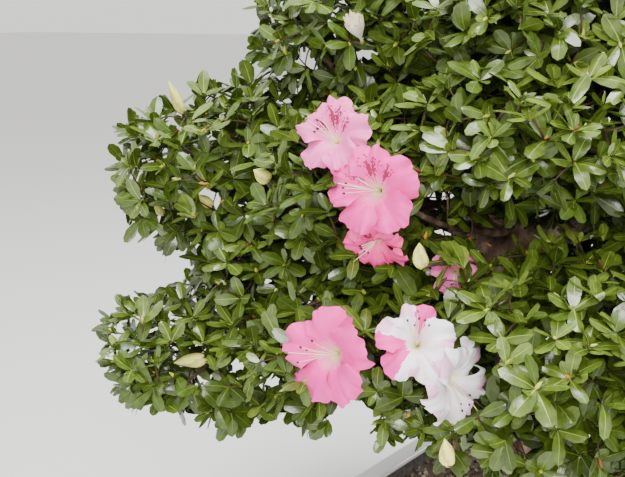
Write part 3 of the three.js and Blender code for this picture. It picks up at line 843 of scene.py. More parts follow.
def grow_skeleton(space):
    """The stem, the places that twigs can start from and the main shoot tips."""
    random = seeded_random(int(space.turn * 7 + space.height))
    limb = bough_limbs.get(space.name, trunk_limb)
    seat_way = unit(limb.line[-1] - limb.line[-2])
    seat = limb.line[-1] + seat_way * SEAT
    heart = space.place([HEART_OUT if space.bough else 0.0, 0, HEART_UP])
    bend = seat + seat_way * np.linalg.norm(seat - heart) * STEM_LEAN
    stem = even_line([seat, bend, heart], 21)
    grown = [stem[int(round(20 * share))] for share in STEM_FORKS]
    phase = random() * FULL_TURN
    shoots = []
    for i in range(SHOOTS):
        rise = SHOOT_HIGHEST - (SHOOT_SPAN * (i + 0.5)) / SHOOTS
        turn = phase + i * GOLDEN_TURN
        ring = math.sqrt(1 - rise * rise)
        tip = space.place(np.array([ring * math.cos(turn), ring * math.sin(turn), rise]) * SHOOT_DEPTH)
        clear = clear_of(tip, LIMB_CENTRES, LIMB_RADII, CLEAR_OF_LIMBS)
        if clear and owned(space, tip) and clear_of(tip, BLOSSOM_CENTRES, BLOSSOM_RADII, CLEAR_OF_LIMBS):
            shoots.append(tip)
    shoots.sort(key=lambda tip: np.linalg.norm(tip - seat))
    return stem, grown, shoots


class Spread:
    """Remembers places, to keep new ones a spacing apart."""

    CELL = 30.0

    def __init__(self):
        self.cells = {}

    def take(self, place, spacing):
        home = tuple(int(n) for n in place // self.CELL)
        for x, y, z in itertools.product((-1, 0, 1), repeat=3):
            others = self.cells.get((home[0] + x, home[1] + y, home[2] + z), ())
            if any(math.dist(other, place) < spacing for other in others):
                return False
        self.cells.setdefault(home, []).append(tuple(place))
        return True


def scattered(space, spread, rng, count, depths, spacing):
    """Places between two depths of a space, a spacing apart."""
    ways = unit(rng.normal(size=(count, 3)))
    depth = depths[0] + (depths[1] - depths[0]) * rng.random(count) ** 0.6
    places = space.place(ways * depth[:, None])
    if not space.bough:
        places[:, 2] -= CROWN_LOWERED * np.maximum(places[:, 2] - space.height, 0)
    keeps = owned(space, places, 0.0) & fitting(places, *TIP_MARGINS)
    return [place for place in places[keeps] if spread.take(place, spacing)]


def grow(space, spread):
    """The stem, twigs and batches of fine twigs of a space, and the random draws for the rest."""
    rng = np.random.default_rng(GROWTH_SEED + space.index)
    stem, starts, shoots = grow_skeleton(space)
    seat = stem[0]
    grown = np.zeros((MOST_STARTS, 3))
    count = len(starts)
    grown[:count] = starts
    twigs = []
    for tip in shoots:
        start = nearest(grown[:count], tip)
        twigs.append(curved(start, tip, 5))
        for share in TWIG_FORKS:
            grown[count] = start + (tip - start) * share
            count += 1
    batches = {}
    for kind, (number, depths, spacing) in GROWTH.items():
        tips = scattered(space, spread, rng, number, depths, spacing)
        if kind == "outer":
            tips += [view_place(*row) for row in SET_SPRAYS.get(space.name, ())]
        tips.sort(key=lambda tip: np.linalg.norm(tip - seat))
        paths = []
        for tip in tips:
            start = nearest(grown[:count], tip)
            reach = np.linalg.norm(tip - start)
            inward = unit(space.middle - start)
            bow = rng.normal(size=3) * reach * SPRIG_STRAY - inward * reach * SPRIG_BOW
            path = curved(start, tip, 4, bow)
            paths.append(path)
            grown[count] = path[2]
            grown[count + 1] = start + (tip - start) * SPRIG_FORK
            count += 2
        batches[kind] = np.array(paths)
    return even_line([stem[0], stem[10], stem[-1]], 7), np.array(twigs), batches, rng


# Leaves: an outline of stations from foot to tip, with a paler rib down the middle

STATIONS = np.array([0.0, 0.30, 0.62, 0.90, 1.0])
HALF_WIDTHS = np.array([0.05, 0.37, 0.50, 0.33, 0.0])
RIB_WIDTHS = np.array([0.034, 0.030, 0.022, 0.012, 0.0])


def fine_leaf():
    """Across and along of each vertex, then face arrays, each with which of its faces are rib."""
    edges = [(-half, -rib, rib, half) for half, rib in zip(HALF_WIDTHS[:-1], RIB_WIDTHS[:-1])]
    across = np.append(np.ravel(edges), 0.0)
    along = np.append(np.repeat(STATIONS[:-1], 4), 1.0)
    tip = len(along) - 1
    quads = grid_faces(len(STATIONS) - 1, 4)
    triangles = np.array([(tip - 4 + strip, tip - 3 + strip, tip) for strip in range(3)])
    return across, along, [(quads, np.arange(len(quads)) % 3 == 1), (triangles, np.arange(3) == 1)]


FINE_LEAF = fine_leaf()
# An older, inner leaf of two faces
PLAIN_LEAF = (
    np.array([0.0, 0.42, 0.40, 0.0, -0.40, -0.42]),
    np.array([0.0, 0.40, 0.78, 1.0, 0.78, 0.40]),
    [(np.array([(0, 1, 2, 3), (0, 3, 4, 5)]), np.zeros(2, bool))],
)
LEAF_SHAPES = {"inner": PLAIN_LEAF, "outer": FINE_LEAF}


def add_leaves(heap, shape, leaves, rng):
    """Leaves from arrays: where each is rooted, points and faces, its length, width and tone."""
    roots, ways, faces, lengths, widths, tones = leaves
    tested = [roots + ways * (lengths * share)[:, None] for share in LEAF_TESTS]
    fits = fitting(np.array(tested), *LEAF_MARGINS).all(axis=0)
    roots, ways, faces, lengths, widths, tones = (values[fits] for values in leaves)
    across, along, parts = shape
    number = len(roots)
    curls = rng.uniform(*LEAF_CURLS, number)
    folds = rng.uniform(*LEAF_FOLDS, number)
    bends = rng.uniform(*LEAF_BENDS, number)
    sides = unit(np.cross(faces, ways))
    normals = np.cross(ways, sides)
    x = across[None] * widths[:, None] + (bends * lengths)[:, None] * along[None] ** 2
    y = along[None] * lengths[:, None]
    edge = np.abs(across)[None] * widths[:, None]
    z = folds[:, None] * edge - (curls * lengths)[:, None] * along[None] ** 2
    verts = roots[:, None] + sides[:, None] * x[..., None] + ways[:, None] * y[..., None]
    verts = verts + normals[:, None] * z[..., None]
    # The rib follows the leaf's tone, so it carries the same painted light and shade
    ribs = np.where(tones >= LIGHT_FROM_TONE, RIB_LIGHT, RIB_DARK)
    blocks = [repeated(block, number, len(across)) for block, _ in parts]
    slots = [np.where(is_rib[None], ribs[:, None], tones[:, None]).ravel() for _, is_rib in parts]
    heap.add(verts, blocks, slots)


def spray_leaves(heap, space, paths, rng, kind):
    """A whorl of leaves at each spray tip: small ones in the middle, larger ones splayed out."""
    tips = paths[:, -1]
    ways = unit(paths[:, -1] - paths[:, -2])
    number = len(tips)
    outward, upward, along = SPRAY_PULLS
    axes = space.normals(tips) * outward + UP * upward + ways * along
    axes = unit(axes + rng.normal(size=(number, 3)) * SPRAY_STRAY)
    # Painted light and shade: sprays that face up and lie near the outside get lighter leaf tones, those that
    # face down or lie deep inside get darker ones
    light = np.clip(0.5 * axes[:, 2] + 0.5 * (space.depth(tips) - 0.5) / 0.45, 0, 1)
    side, other = square_to(axes)
    index = np.arange(LEAVES_PER_SPRAY)[None]
    counts = rng.integers(LEAVES_PER_SPRAY - 2, LEAVES_PER_SPRAY + 1, number)[:, None]
    inner = index >= counts - HEART_LEAVES
    shape = (number, LEAVES_PER_SPRAY)
    turns = rng.random((number, 1)) * FULL_TURN + index * GOLDEN_TURN
    splays = np.where(inner, rng.uniform(*HEART_SPLAYS, shape), rng.uniform(*OUTER_SPLAYS, shape))
    sizes = np.where(inner, rng.uniform(*HEART_SIZES, shape), rng.uniform(*OUTER_SIZES, shape))
    sizes = sizes * rng.uniform(*SPRAY_SIZES, (number, 1))
    radial = spokes(side[:, None], other[:, None], turns)
    leaf_ways = axes[:, None] * np.cos(splays)[..., None] + radial * np.sin(splays)[..., None]
    leaf_ways = unit(leaf_ways + rng.normal(size=(*shape, 3)) * 0.12)
    faces = axes[:, None] * 0.8 + UP * 0.45 + rng.normal(size=(*shape, 3)) * 0.2
    faces = unit(faces - leaf_ways * (faces * leaf_ways).sum(axis=-1, keepdims=True))
    roots = tips[:, None] - axes[:, None] * (0.9 * index)[..., None] + radial * 0.5
    # Tone from painted shade up to painted full light, with a random stray
    spray_tones = SHADE_TONE + LIGHT_TONES * light + rng.normal(size=number) * TONE_STRAY
    if kind == "inner":
        # The old, inner leaves take lighter tones than their shade would give, as painted light that stands
        # for light let through the leaves and bounced inside the crown
        spray_tones = rng.uniform(*OLD_TONES_PAINTED_LIGHT, number)
    tones = spray_tones[:, None] + inner * 0.8 + rng.normal(size=shape) * 0.35
    tones = np.clip(np.round(tones), 0, LEAF_TONES - 1).astype(int)
    length, width = LEAF_SIZES[kind]
    widths = width * sizes * rng.uniform(0.85, 1.1, shape)
    used = index < counts
    leaves = [values[used] for values in (roots, leaf_ways, faces, length * sizes, widths, tones)]
    add_leaves(heap, LEAF_SHAPES[kind], leaves, rng)


# Blossoms

# The rim of each kind of blossom, where it isn't white
RIMS = {"pink": "rose", "blotched": "rose", "pale": "pale", "deep": "deep"}
# Rose sectors on a white blossom: by petal, from where to where across it, and how far out
SECTORS = {0: (-0.62, 0.02, 0.2), 1: (0.1, 2, 0.24), 2: (-2, 0.15, 0.24)}
# Blotches: by petal, their middle across it, how far they lie apart, and how far out
BLOTCHES = {0: (0.0, 0.17, 0.46), 1: (-0.62, 0.0, 0.4), 4: (0.62, 0.0, 0.4)}
# Waves across a petal that crinkle its rim: size and pace
CRINKLES = [(0.030, 7), (0.020, 13), (0.012, 27)]
# Waves across a petal that ruffle it: size, pace, phase, slant and power of the way out
RUFFLES = [(0.075, 3.6, 3, 0, 2.2), (0.060, 8.5, 4, 2.5, 3.2), (0.055, 15, 5, 0, 6), (0.030, 29, 6, 0, 6)]
THROAT_END = 0.12
# Lobes: how much their corners are rounded, their sizes, half their angle and how much it widens
LOBE_ROUNDINGS = (0.44, 0.56)
LOBE_SIZES = (0.93, 1.06)
LOBE_HALF_ANGLE = math.radians(36)
LOBE_WIDENING = 0.36


def petal_slots(kind, petal, u, v, rng):
    """The slot of each petal face by where it lies: u across the lobe, v from throat to rim."""
    v = v + rng.normal(size=v.shape) * 0.02
    step = np.clip((v - THROAT_END) / 0.24, 0, 1) * (PETAL_STEPS - 1)
    step = np.round(step + rng.uniform(-0.3, 0.3, v.shape)).clip(0, PETAL_STEPS - 1).astype(int)
    slots = PETAL[RIMS.get(kind, "white") + "_0"] + step
    if kind == "sectored" and petal in SECTORS:
        left, right, start = SECTORS[petal]
        edge = 0.03 * np.sin(v * 19)
        slots[(u > left + edge) & (u < right + edge) & (v > start)] = PETAL["rose_5"]
    if kind in ("sectored", "blush"):
        slots[(v > 0.66) & (np.sin(u * 4 + petal * 2.3) > 0.55) & (slots != PETAL["rose_5"])] = PETAL["blush"]
    if kind == "withered":
        slots[:] = PETAL["white_1"]
        slots[(v > 0.62) & (np.sin(u * 6 + petal) > 0.2)] = PETAL["white_0"]
        slots[(v > 0.88) & (np.sin(u * 11 + petal) > 0.3)] = PETAL["straw"]
    slots[v < THROAT_END] = PETAL["throat"]
    if kind in ("blotched", "pale", "deep") and petal in BLOTCHES:
        middle, apart, out = BLOTCHES[petal]
        away = np.abs(np.abs(u - middle) - apart)
        strength = 1.45 - away / 0.19 - np.abs(v - out) / 0.27
        draw = rng.random(u.shape)
        slots[(strength > 0) & (draw < strength * 1.05)] = PETAL["blotch"]
        freckle = (away < 0.38) & (v > 0.26) & (v < 0.74) & (draw < 0.14)
        slots[freckle & (strength <= 0)] = PETAL["freckle"]
    return slots


def petal_surface(kind, petal, radius, rng):
    """Points of one petal in the blossom's own frame, with Z along the way it faces."""
    v = np.linspace(0, 1, PETAL_ROWS)[:, None]
    u = np.linspace(-1, 1, PETAL_COLUMNS)[None, :]
    phases = rng.random(8) * FULL_TURN
    rim = v**2.2
    split = np.clip((v - 0.30) / 0.35, 0, 1)
    lobe = 1.02 - rng.uniform(*LOBE_ROUNDINGS) * np.abs(u) ** 2.3 - 0.07 * np.exp(-((u / 0.17) ** 2))
    lobe = lobe * rng.uniform(*LOBE_SIZES)
    crinkle = sum(size * np.sin(pace * u + phase) for (size, pace), phase in zip(CRINKLES, phases))
    reach = 0.03 + 0.97 * v**1.1 * (1 + (lobe - 1) * v**2.4) + crinkle * rim
    half_angle = LOBE_HALF_ANGLE * (1 + LOBE_WIDENING * split)
    turn = math.pi / 2 + petal * FULL_TURN / PETALS + u * half_angle
    turn = turn + 0.05 * rim * np.sin(6 * u + phases[3])
    height = -0.5 + 0.98 * v**0.6 - 0.46 * v**2.6
    for size, pace, phase, slant, power in RUFFLES:
        height = height + size * v**power * np.sin(pace * u + phases[phase] + slant * v)
    height = height - 0.03 * v * np.exp(-((u / 0.12) ** 2))
    height = height + split * (0.11 * u + rng.normal() * 0.07 * v)
    if kind == "withered":
        height = height + 0.95 * v**1.5
        reach = reach * (1 - 0.55 * v)
    reach = reach * radius
    height = height * radius
    return np.stack([reach * np.cos(turn), reach * np.sin(turn), height + 0 * turn], axis=-1)


def blossom_axes(way, roll):
    """Right, upper and facing directions of a blossom, seen from in front."""
    upper = unit(UP - way * way[2])
    side = np.cross(upper, way)
    angle = np.radians(roll)
    return np.array([spokes(side, upper, angle), spokes(upper, -side, angle), way])


def add_stamens(heap, centre, axes, radius, lean, rng):
    """Stamens and a longer style, which lean to one side of the open face."""
    for k in range(STAMENS + 1):
        style = k == STAMENS
        turn = math.radians(lean) + (0.1 if style else (k - 2) * 0.2 + rng.normal() * 0.06)
        length = radius * (0.88 if style else rng.uniform(0.52, 0.76))
        shares = np.linspace(0, 1, 9)
        out = length * 0.8 * shares**1.25
        rise = length * 0.9 * shares**0.6 - 0.42 * radius
        local = np.stack([out * np.cos(turn), out * np.sin(turn), rise], axis=-1)
        path = centre + local @ axes
        add_tapering(heap, [path], FILAMENT_RADII, 5, PETAL["filament"])
        bead = 1.5 if style else 1.25
        ball = path[-1] + unit(path[-1] - path[-2]) * np.array([[-1.0], [0.0], [1.0]]) * bead
        color = PETAL["calyx"] if style else PETAL["anther"]
        add_tubes(heap, [ball], [[0.4, bead * 0.8, 0.35]], 6, color)


def add_blossom(heap, row, index):
    """A funnel of five wavy petals; returns the foot of its stalk."""
    rng = np.random.default_rng(BLOSSOM_SEED + index)
    middle = around_trunk(*row[1:4])
    way = pointing(*row[4:6])
    width, kind, roll, lean = row[6:]
    radius = width / 2
    axes = blossom_axes(way, roll)
    grid = grid_faces(PETAL_ROWS, PETAL_COLUMNS)
    v = (np.repeat(np.arange(PETAL_ROWS - 1), PETAL_COLUMNS - 1) + 0.5) / (PETAL_ROWS - 1)
    u = (np.tile(np.arange(PETAL_COLUMNS - 1), PETAL_ROWS - 1) + 0.5) / (PETAL_COLUMNS - 1) * 2 - 1
    for petal in range(PETALS):
        points = petal_surface(kind, petal, radius, rng).reshape(-1, 3)
        heap.add(middle + points @ axes, [grid], [petal_slots(kind, petal, u, v, rng)])
    if kind != "withered":
        add_stamens(heap, middle, blossom_axes(way, 0), radius, lean, rng)
    foot = middle - way * radius * 0.76
    tube = curved(foot, middle - way * radius * 0.5, 3)
    add_tubes(heap, [tube], [[1.6, radius * 0.09, radius * 0.08]], 8, PETAL["calyx"])
    return foot


# Buds

def add_bud(heap, middle, way, length, width, rng, slot, furrow_shade=None, sides=15, rings=10):
    """A pointed bud with furled, twisting folds."""
    shares = np.linspace(0.01, 1, rings)[:, None]
    angles = np.linspace(0, FULL_TURN, sides, endpoint=False)[None, :]
    body = 2.7 * shares**0.55 * (1 - shares) ** 1.05
    fold = 1 + 0.11 * np.cos(3 * (angles + shares * 1.7))
    radius = width / 2 * body * fold
    bend = rng.normal() * 0.1 * length * (shares - 0.3) ** 2
    along = (shares - 0.5) * length + 0 * radius
    axes = np.array([*square_to(way), way])
    local = np.stack([radius * np.cos(angles) + bend, radius * np.sin(angles), along], axis=-1)
    # Faces in the furrows between the folds take the furrow slot: a greener painted shade that shows the
    # folds
    slots = np.where(fold[:-1] < 0.94, slot if furrow_shade is None else furrow_shade, slot).ravel()
    heap.add(middle + local.reshape(-1, 3) @ axes, [tube_faces(rings, sides)], [slots])


def add_flower_bud(heap, row, rng):
    """A large bud with brown scales round its foot; returns the foot."""
    middle = around_trunk(*row[:3])
    way = pointing(*row[3:5])
    length, width = row[5:]
    # cream_green in the bud's furrows is painted shade of its folds
    add_bud(heap, middle, way, length, width, rng, PETAL["cream"], PETAL["cream_green"])
    foot = middle - way * length * 0.48
    leans = unit(way + spokes(*square_to(way), np.arange(BUD_SCALES) * FULL_TURN / BUD_SCALES) * 0.5)
    for k, lean in enumerate(leans):
        color = PETAL["bud_brown"] if k % 2 else PETAL["cream_green"]
        add_bud(heap, foot + lean * width * 0.3, lean, width * 0.75, width * 0.42, rng, color, None, 7, 6)
    return foot


def add_small_buds(heap, paths, rng):
    """Pointed shoot buds in the hearts of some sprays."""
    names = ["bud_green", "bud_green", "bud_green", "cream_green", "bud_orange", "bud_brown"]
    for path in paths[rng.random(len(paths)) < SMALL_BUD_SHARE]:
        axis = unit(path[-1] - path[-2] + UP)
        color = PETAL[names[rng.integers(len(names))]]
        length = rng.uniform(*SMALL_BUD_LENGTHS)
        add_bud(heap, path[-1] + axis * 2.5, axis, length, length * 0.42, rng, color, None, 5, 4)


# Pot and soil

CORNER_STEPS = 12


def oblong_ring(inset):
    """Points round the pot's rounded oblong, drawn in by an inset."""
    half_x = POT_LENGTH / 2
    half_y = POT_DEPTH / 2
    points = []
    for quarter, (sign_x, sign_y) in enumerate(((1, 1), (-1, 1), (-1, -1), (1, -1))):
        for step in range(CORNER_STEPS + 1):
            angle = (quarter + step / CORNER_STEPS) * math.pi / 2
            x = sign_x * (half_x - POT_CORNER) + POT_CORNER * math.cos(angle)
            y = sign_y * (half_y - POT_CORNER) + POT_CORNER * math.sin(angle)
            points.append((x * (half_x - inset) / half_x, y * (half_y - inset) / half_y))
    return np.array(points)


def pot_levels():
    """Height and inset of each ring from the underside up, over the rim and down inside."""
    lip_foot = POT_HEIGHT - LIP_HEIGHT
    wall_foot = PLINTH_HEIGHT + 2.5
    shares = np.linspace(0, 1, 9)
    rise = RIM_ROUND * np.sin(shares * math.pi / 2)
    run = RIM_ROUND * np.cos(shares * math.pi / 2)
    swell = 0.8 * np.sin(math.pi * shares) - 0.3
    wall_insets = BODY_FOOT_INSET + (BODY_TOP_INSET - BODY_FOOT_INSET) * shares - swell
    levels = [
        (0, PLINTH_INSET + 14), (0, PLINTH_INSET + 1), (1, PLINTH_INSET),
        (PLINTH_HEIGHT - 1, PLINTH_INSET), (PLINTH_HEIGHT + 0.6, BODY_FOOT_INSET + 2),
        *zip(wall_foot + (lip_foot - 3 - wall_foot) * shares, wall_insets),
        (lip_foot - 1, BODY_TOP_INSET), (lip_foot + 0.8, BODY_TOP_INSET - 4), (lip_foot + 1.6, 1.6),
        *zip(POT_HEIGHT - RIM_ROUND + rise, 0.15 + RIM_ROUND - run),
        *zip(POT_HEIGHT - RIM_ROUND + run - 0.4, RIM_WIDTH - RIM_ROUND + rise),
    ]
    glazed = len(levels)
    levels += [(POT_HEIGHT - 7, RIM_WIDTH + 0.4), (SOIL_EDGE_HEIGHT - 5, RIM_WIDTH + 3)]
    return levels, glazed


def build_pot():
    levels, glazed = pot_levels()
    rings = []
    for height, inset in levels:
        ring = oblong_ring(inset)
        rings.append(np.column_stack([ring, np.full(len(ring), height)]))
    sides = len(rings[0])
    verts = np.concatenate(rings + [[[0, 0, 0]], [[0, 0, levels[-1][0]]]])
    ring_of = np.repeat(np.arange(len(rings) - 1), sides)
    slots = np.where((ring_of >= glazed - 1) | (ring_of < 1), CLAY, GLAZE)
    heap = Heap()
    heap.add(verts, [tube_faces(len(rings), sides), cap_faces(len(rings), sides)], [slots, CLAY])
    return heap.piece("glazed_oblong_pot", pot_materials)


GRAIN_COUNT = 4800
GRAIN_SIZES = (1.8, 4.0)
GRAIN_SEED = 61
SOIL_SINK = 3.8


def soil_height(x, y):
    """Height of the soil: level at the wall, a low mound towards the trunk."""
    edge_x = POT_LENGTH / 2 - RIM_WIDTH - 4
    edge_y = POT_DEPTH / 2 - RIM_WIDTH - 4
    inward = np.minimum(edge_x - np.abs(x), edge_y - np.abs(y)) / SOIL_SHOULDER
    rise = np.clip(inward, 0, 1) ** 0.8
    ripple = 1.2 * np.sin(x / 23 + 1) * np.sin(y / 19) + 0.8 * np.sin(x / 9) * np.sin(y / 11 + 2)
    return SOIL_EDGE_HEIGHT + (SOIL_HEIGHT - SOIL_EDGE_HEIGHT) * rise - SOIL_SINK + ripple


def corner_excess(x, y, half_x, half_y, corner):
    """How far places lie out from the middle of the nearest rounded corner."""
    past_x = np.maximum(np.abs(x) - (half_x - corner), 0)
    past_y = np.maximum(np.abs(y) - (half_y - corner), 0)
    return np.hypot(past_x, past_y)


def grain_shape():
    """The twelve corners and twenty faces of a pebble."""
    golden = (1 + math.sqrt(5)) / 2
    flat = [(-1, golden), (1, golden), (-1, -golden), (1, -golden)]
    corners = [(a, b, 0) for a, b in flat] + [(0, a, b) for a, b in flat] + [(b, 0, a) for a, b in flat]
    corners = np.array(corners)
    faces = []
    for a, b, c in itertools.combinations(range(12), 3):
        if max(math.dist(corners[p], corners[q]) for p, q in ((a, b), (b, c), (a, c))) < 2.1:
            faces.append((a, b, c) if np.linalg.det(corners[[a, b, c]]) > 0 else (a, c, b))
    return unit(corners), np.array(faces)


def build_soil():
    heap = Heap()
    rng = np.random.default_rng(GRAIN_SEED)
    columns, rows = 61, 45
    half_x = POT_LENGTH / 2 - RIM_WIDTH - 0.8
    half_y = POT_DEPTH / 2 - RIM_WIDTH - 0.8
    corner = POT_CORNER * 0.88
    x, y = np.meshgrid(np.linspace(-half_x, half_x, columns), np.linspace(-half_y, half_y, rows))
    excess = corner_excess(x, y, half_x, half_y, corner)
    pull = np.where(excess > corner, corner / np.maximum(excess, 1e-6), 1)
    x = np.sign(x) * (np.abs(x) - np.maximum(np.abs(x) - (half_x - corner), 0) * (1 - pull))
    y = np.sign(y) * (np.abs(y) - np.maximum(np.abs(y) - (half_y - corner), 0) * (1 - pull))
    heap.add(np.stack([x, y, soil_height(x, y)], axis=-1), [grid_faces(rows, columns)], [0])
    corners, faces = grain_shape()
    x = rng.uniform(3 - half_x, half_x - 3, GRAIN_COUNT)
    y = rng.uniform(3 - half_y, half_y - 3, GRAIN_COUNT)
    inside = corner_excess(x, y, half_x, half_y, corner) < corner - 3
    x = x[inside]
    y = y[inside]
    size = rng.uniform(*GRAIN_SIZES, len(x))
    centres = np.stack([x, y, soil_height(x, y) + size * rng.uniform(0.0, 0.8, len(x))], axis=-1)
    stretch = size[:, None, None] * rng.uniform(0.7, 1.15, (len(x), 12, 1))
    squash = rng.uniform(0.65, 1.0, (len(x), 1, 3))
    grains = centres[:, None] + corners[None] * stretch * squash
    colors = rng.choice(len(GRAIN_SHARES), len(x), p=GRAIN_SHARES)
    heap.add(grains, [repeated(faces, len(x), 12)], [np.repeat(colors, len(faces))])
    return heap.piece("soil_grains", grain_materials, smooth=False)


# Trunk and boughs joined, with the relief of fibrous bark

TRUNK_SIDES = 48
BOUGH_SIDES = 20
WELD = 2.2
# Layers of noise in the bark's relief: pace across and along the limb, and height
BARK_LAYERS = {
    "lumps": (0.045, 0.028, 1.1),
    "plates": (0.13, 0.03, 0.9),
    "fibres": (0.34, 0.045, 0.55),
    "grain": (0.8, 0.16, 0.35),
}


def trunk_rings():
    ways = trunk_limb.ways
    side = unit(np.array([1.0, 0.0, 0.0]) - ways * ways[:, :1])
    other = np.cross(ways, side)
    angles = np.linspace(0, FULL_TURN, TRUNK_SIDES, endpoint=False)[None, :]
    height = (TRUNK_LINE[:, 2] - TRUNK_FOOT[2])[:, None]
    flare = np.exp(-np.maximum(height, 0) / ROOT_RISE)
    ridge = 1 - ROOT_RIDGE + ROOT_RIDGE * np.cos(ROOT_COUNT * angles + ROOT_SKEW * np.sin(angles))
    knot = KNOT_SIZE * np.sin(2 * angles + height / KNOT_TWIST) * (1 - flare)
    radius = trunk_radius(height) + ROOT_SPREAD * flare * ridge + knot
    rings = TRUNK_LINE[:, None] + spokes(side[:, None], other[:, None], angles) * radius[..., None]
    return rings[TRUNK_LINE[:, 2] > TRUNK_FOOT[2] - 12]


def build_limbs():
    heap = Heap()
    rings = trunk_rings()
    ends = [rings[0].mean(axis=0), rings[-1].mean(axis=0)]
    verts = np.concatenate([rings.reshape(-1, 3), ends])
    blocks = [tube_faces(len(rings), TRUNK_SIDES), cap_faces(len(rings), TRUNK_SIDES)]
    heap.add(verts, blocks, [0, 0])
    for limb in [*bough_limbs.values(), branch_limb]:
        travelled = np.linspace(0, np.linalg.norm(np.diff(limb.line, axis=0), axis=1).sum(), len(limb.line))
        collar = 0.5 * limb.radii[0] * np.exp(-np.maximum(travelled - 30, 0) / 14)
        add_tubes(heap, [limb.line], [limb.radii - 0.5 + collar], BOUGH_SIDES, 0)
    piece = heap.piece("trunk_and_boughs", [bark_material])
    weld = piece.modifiers.new("weld", "REMESH")
    weld.mode = "VOXEL"
    weld.voxel_size = WELD * MM
    weld.use_smooth_shade = True
    welded = bpy.data.meshes.new_from_object(piece.evaluated_get(bpy.context.evaluated_depsgraph_get()))
    piece.modifiers.clear()
    welded.materials.clear()
    welded.materials.append(bark_material)
    piece.data = welded
    roughen_bark(welded)
    return piece


def vertex_values(mesh, what):
    """The places or normals of a mesh's vertices."""
    values = np.empty(len(mesh.vertices) * 3, np.float32)
    mesh.vertices.foreach_get(what, values)
    return values.reshape(-1, 3)


def roughen_bark(mesh):
    """Fibres, plates and lumps that run along the nearest limb."""
    places = vertex_values(mesh, "co") / MM
    normals = vertex_values(mesh, "normal")
    count = len(places)
    grown = [*limbs, branch_limb]
    centres = np.concatenate([limb.line[::4] for limb in grown])
    ways = np.concatenate([limb.ways[::4] for limb in grown])
    radii = np.concatenate([limb.radii[::4] for limb in grown])
    lift = np.empty(count)
    block_size = 5000
    for start in range(0, count, block_size):
        block = places[start : start + block_size]
        near = (np.linalg.norm(block[:, None] - centres[None], axis=-1) / radii).argmin(axis=1)
        way = ways[near]
        along = (block * way).sum(axis=1, keepdims=True)
        across = block - way * along
        shape = 0
        for seed, (layer, (pace, pace_along, height)) in enumerate(BARK_LAYERS.items(), 1):
            noise = lattice_noise(across * pace + way * along * pace_along, seed)
            if layer == "fibres":
                noise = 1 - np.abs(2 * noise - 1)
            shape = shape + height * (noise - 0.5)
        size = np.minimum(radii[near] / 40, 1.0) * 2.2 + 0.55
        lift[start : start + block_size] = size * shape
    places = places + normals * lift[:, None]
    places[:, 2] = np.maximum(places[:, 2], TRUNK_FOOT[2] - 8)
    mesh.vertices.foreach_set("co", (places * MM).astype(np.float32).ravel())
    mesh.update()


# Stage: floor, lights and camera

FLOOR_REACH = 30000
FLOOR_HEIGHT = -0.5
# Lamps: name, place and target in metres, size, watts and colour
LAMPS = [
    ("sky", (0.15, -0.5, 3.2), (0, 0, 0.4), 1.7, 130, (0.97, 0.99, 1.0)),
    ("key", (1.15, -2.35, 1.35), (-0.1, 0, 0.45), 0.9, 60, (1.0, 0.98, 0.96)),
    ("back", (0.6, 2.4, 2.0), (0, 0, 0.45), 1.8, 40, (1, 1, 1)),
]


def build_stage():
    corners = [(-1, -1), (1, -1), (1, 1), (-1, 1)]
    heap = Heap()
    heap.add([(x * FLOOR_REACH, y * FLOOR_REACH, FLOOR_HEIGHT) for x, y in corners], [[(0, 1, 2, 3)]], [0])
    floor = heap.piece("floor", [new_material("floor_pale", (0.75, 0.75, 0.74), 0.7)], smooth=False)
    world = bpy.data.worlds.new("studio")
    world.use_nodes = True
    background = world.node_tree.nodes["Background"]
    background.inputs["Color"].default_value = (1.0, 0.99, 0.97, 1)
    background.inputs["Strength"].default_value = 1.25
    bpy.context.scene.world = world


def add_lamp(name, place, target, size, power, color):
    data = bpy.data.lights.new(name, "AREA")
    data.shape = "DISK"
    data.size = size
    data.energy = power
    data.color = color
    lamp = show(name, data)
    lamp.location = place
    lamp.rotation_euler = (Vector(target) - Vector(place)).to_track_quat("-Z", "Y").to_euler()


def add_camera():
    data = bpy.data.cameras.new("photo_angle")
    data.lens = CAMERA_LENS
    data.sensor_width = CAMERA_SENSOR
    data.clip_end = 100
    camera = show("photo_angle", data)
    camera.location = CAMERA_PLACE * MM
    camera.rotation_euler = (math.radians(90 - CAMERA_TIP), 0, math.radians(CAMERA_TURN))
    bpy.context.scene.camera = camera


# Build everything

GROUPS = {
    "low_front": ["low_left", "low_front_left", "low_front", "low_right"],
    "low_back": ["low_back_right", "low_back", "low_back_left"],
    "mid_front": ["mid_left", "mid_front_left", "mid_front", "mid_right"],
    "mid_back": ["mid_back_right", "mid_back", "mid_back_left"],
    "high": ["high_left", "high_front", "high_right"],
    "top": ["high_back_right", "high_back", "crown_top"],
    "inner": ["inner_left"],
}
GROUP_OF = {name: group for group, members in GROUPS.items() for name in members}


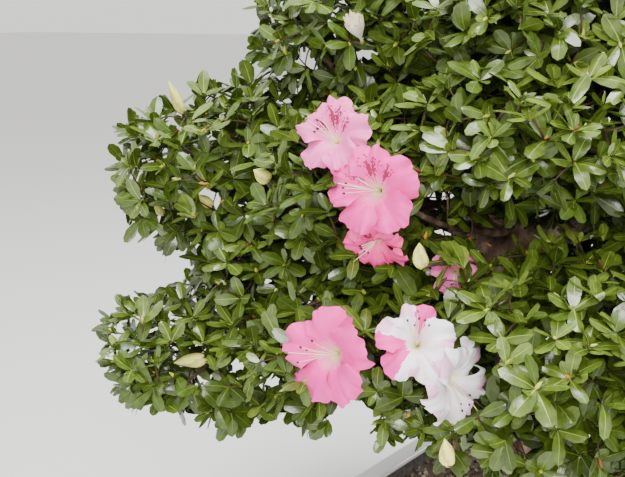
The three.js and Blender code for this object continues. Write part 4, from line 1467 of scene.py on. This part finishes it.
def join_stalk(heaps, wood, foot, names):
    """A short stalk from the nearest fine twig to a blossom's or bud's foot."""
    ends = {name: nearest(wood[name], foot) for name in names}
    name = min(ends, key=lambda key: np.linalg.norm(ends[key] - foot))
    add_tapering(heaps[GROUP_OF[name]], [curved(ends[name], foot, 4)], STALK_RADII, 6, NEW_WOOD)


def build_foliage():
    leaf_heaps = {group: Heap() for group in GROUPS}
    twig_heaps = {group: Heap() for group in GROUPS}
    blossom_heap = Heap()
    bud_heap = Heap()
    spread = Spread()
    wood = {}
    for space in spaces:
        group = GROUP_OF[space.name]
        stem, twigs, batches, rng = grow(space, spread)
        heap = twig_heaps[group]
        add_tapering(heap, [stem], STEM_RADII, 8, OLD_WOOD)
        add_tapering(heap, twigs, TWIG_RADII, 6, OLD_WOOD)
        for kind, paths in batches.items():
            add_tapering(heap, paths, SPRIG_RADII, 3, NEW_WOOD)
            spray_leaves(leaf_heaps[group], space, paths, rng, kind)
        add_small_buds(bud_heap, batches["outer"], rng)
        wood[space.name] = np.concatenate([paths.reshape(-1, 3) for paths in (twigs, *batches.values())])
    for index, row in enumerate(BLOSSOMS):
        join_stalk(twig_heaps, wood, add_blossom(blossom_heap, row, index), [row[0]])
    rng = np.random.default_rng(BUD_SEED)
    for row in BUDS:
        join_stalk(twig_heaps, wood, add_flower_bud(bud_heap, row, rng), list(wood))
    for group, members in GROUPS.items():
        leaves = leaf_heaps[group].piece("leaves_" + group, leaf_materials)
        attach(leaves, BODY)
        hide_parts(*["foliage_" + name for name in members])
        twigs = twig_heaps[group].piece("twigs_" + group, twig_materials)
        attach(twigs, BODY)
    for name, heap in (("blossoms", blossom_heap), ("buds", bud_heap)):
        piece = heap.piece(name, petal_materials)
        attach(piece, BODY)


build_foliage()

limbs_piece = build_limbs()
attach(limbs_piece, BODY)
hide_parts("trunk", *["bough_" + name for name in bough_limbs])

pot_piece = build_pot()
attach(pot_piece, BODY)
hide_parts("pot")

soil_piece = build_soil()
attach(soil_piece, BODY)
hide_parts("soil")

build_stage()
for row in LAMPS:
    add_lamp(*row)
add_camera()
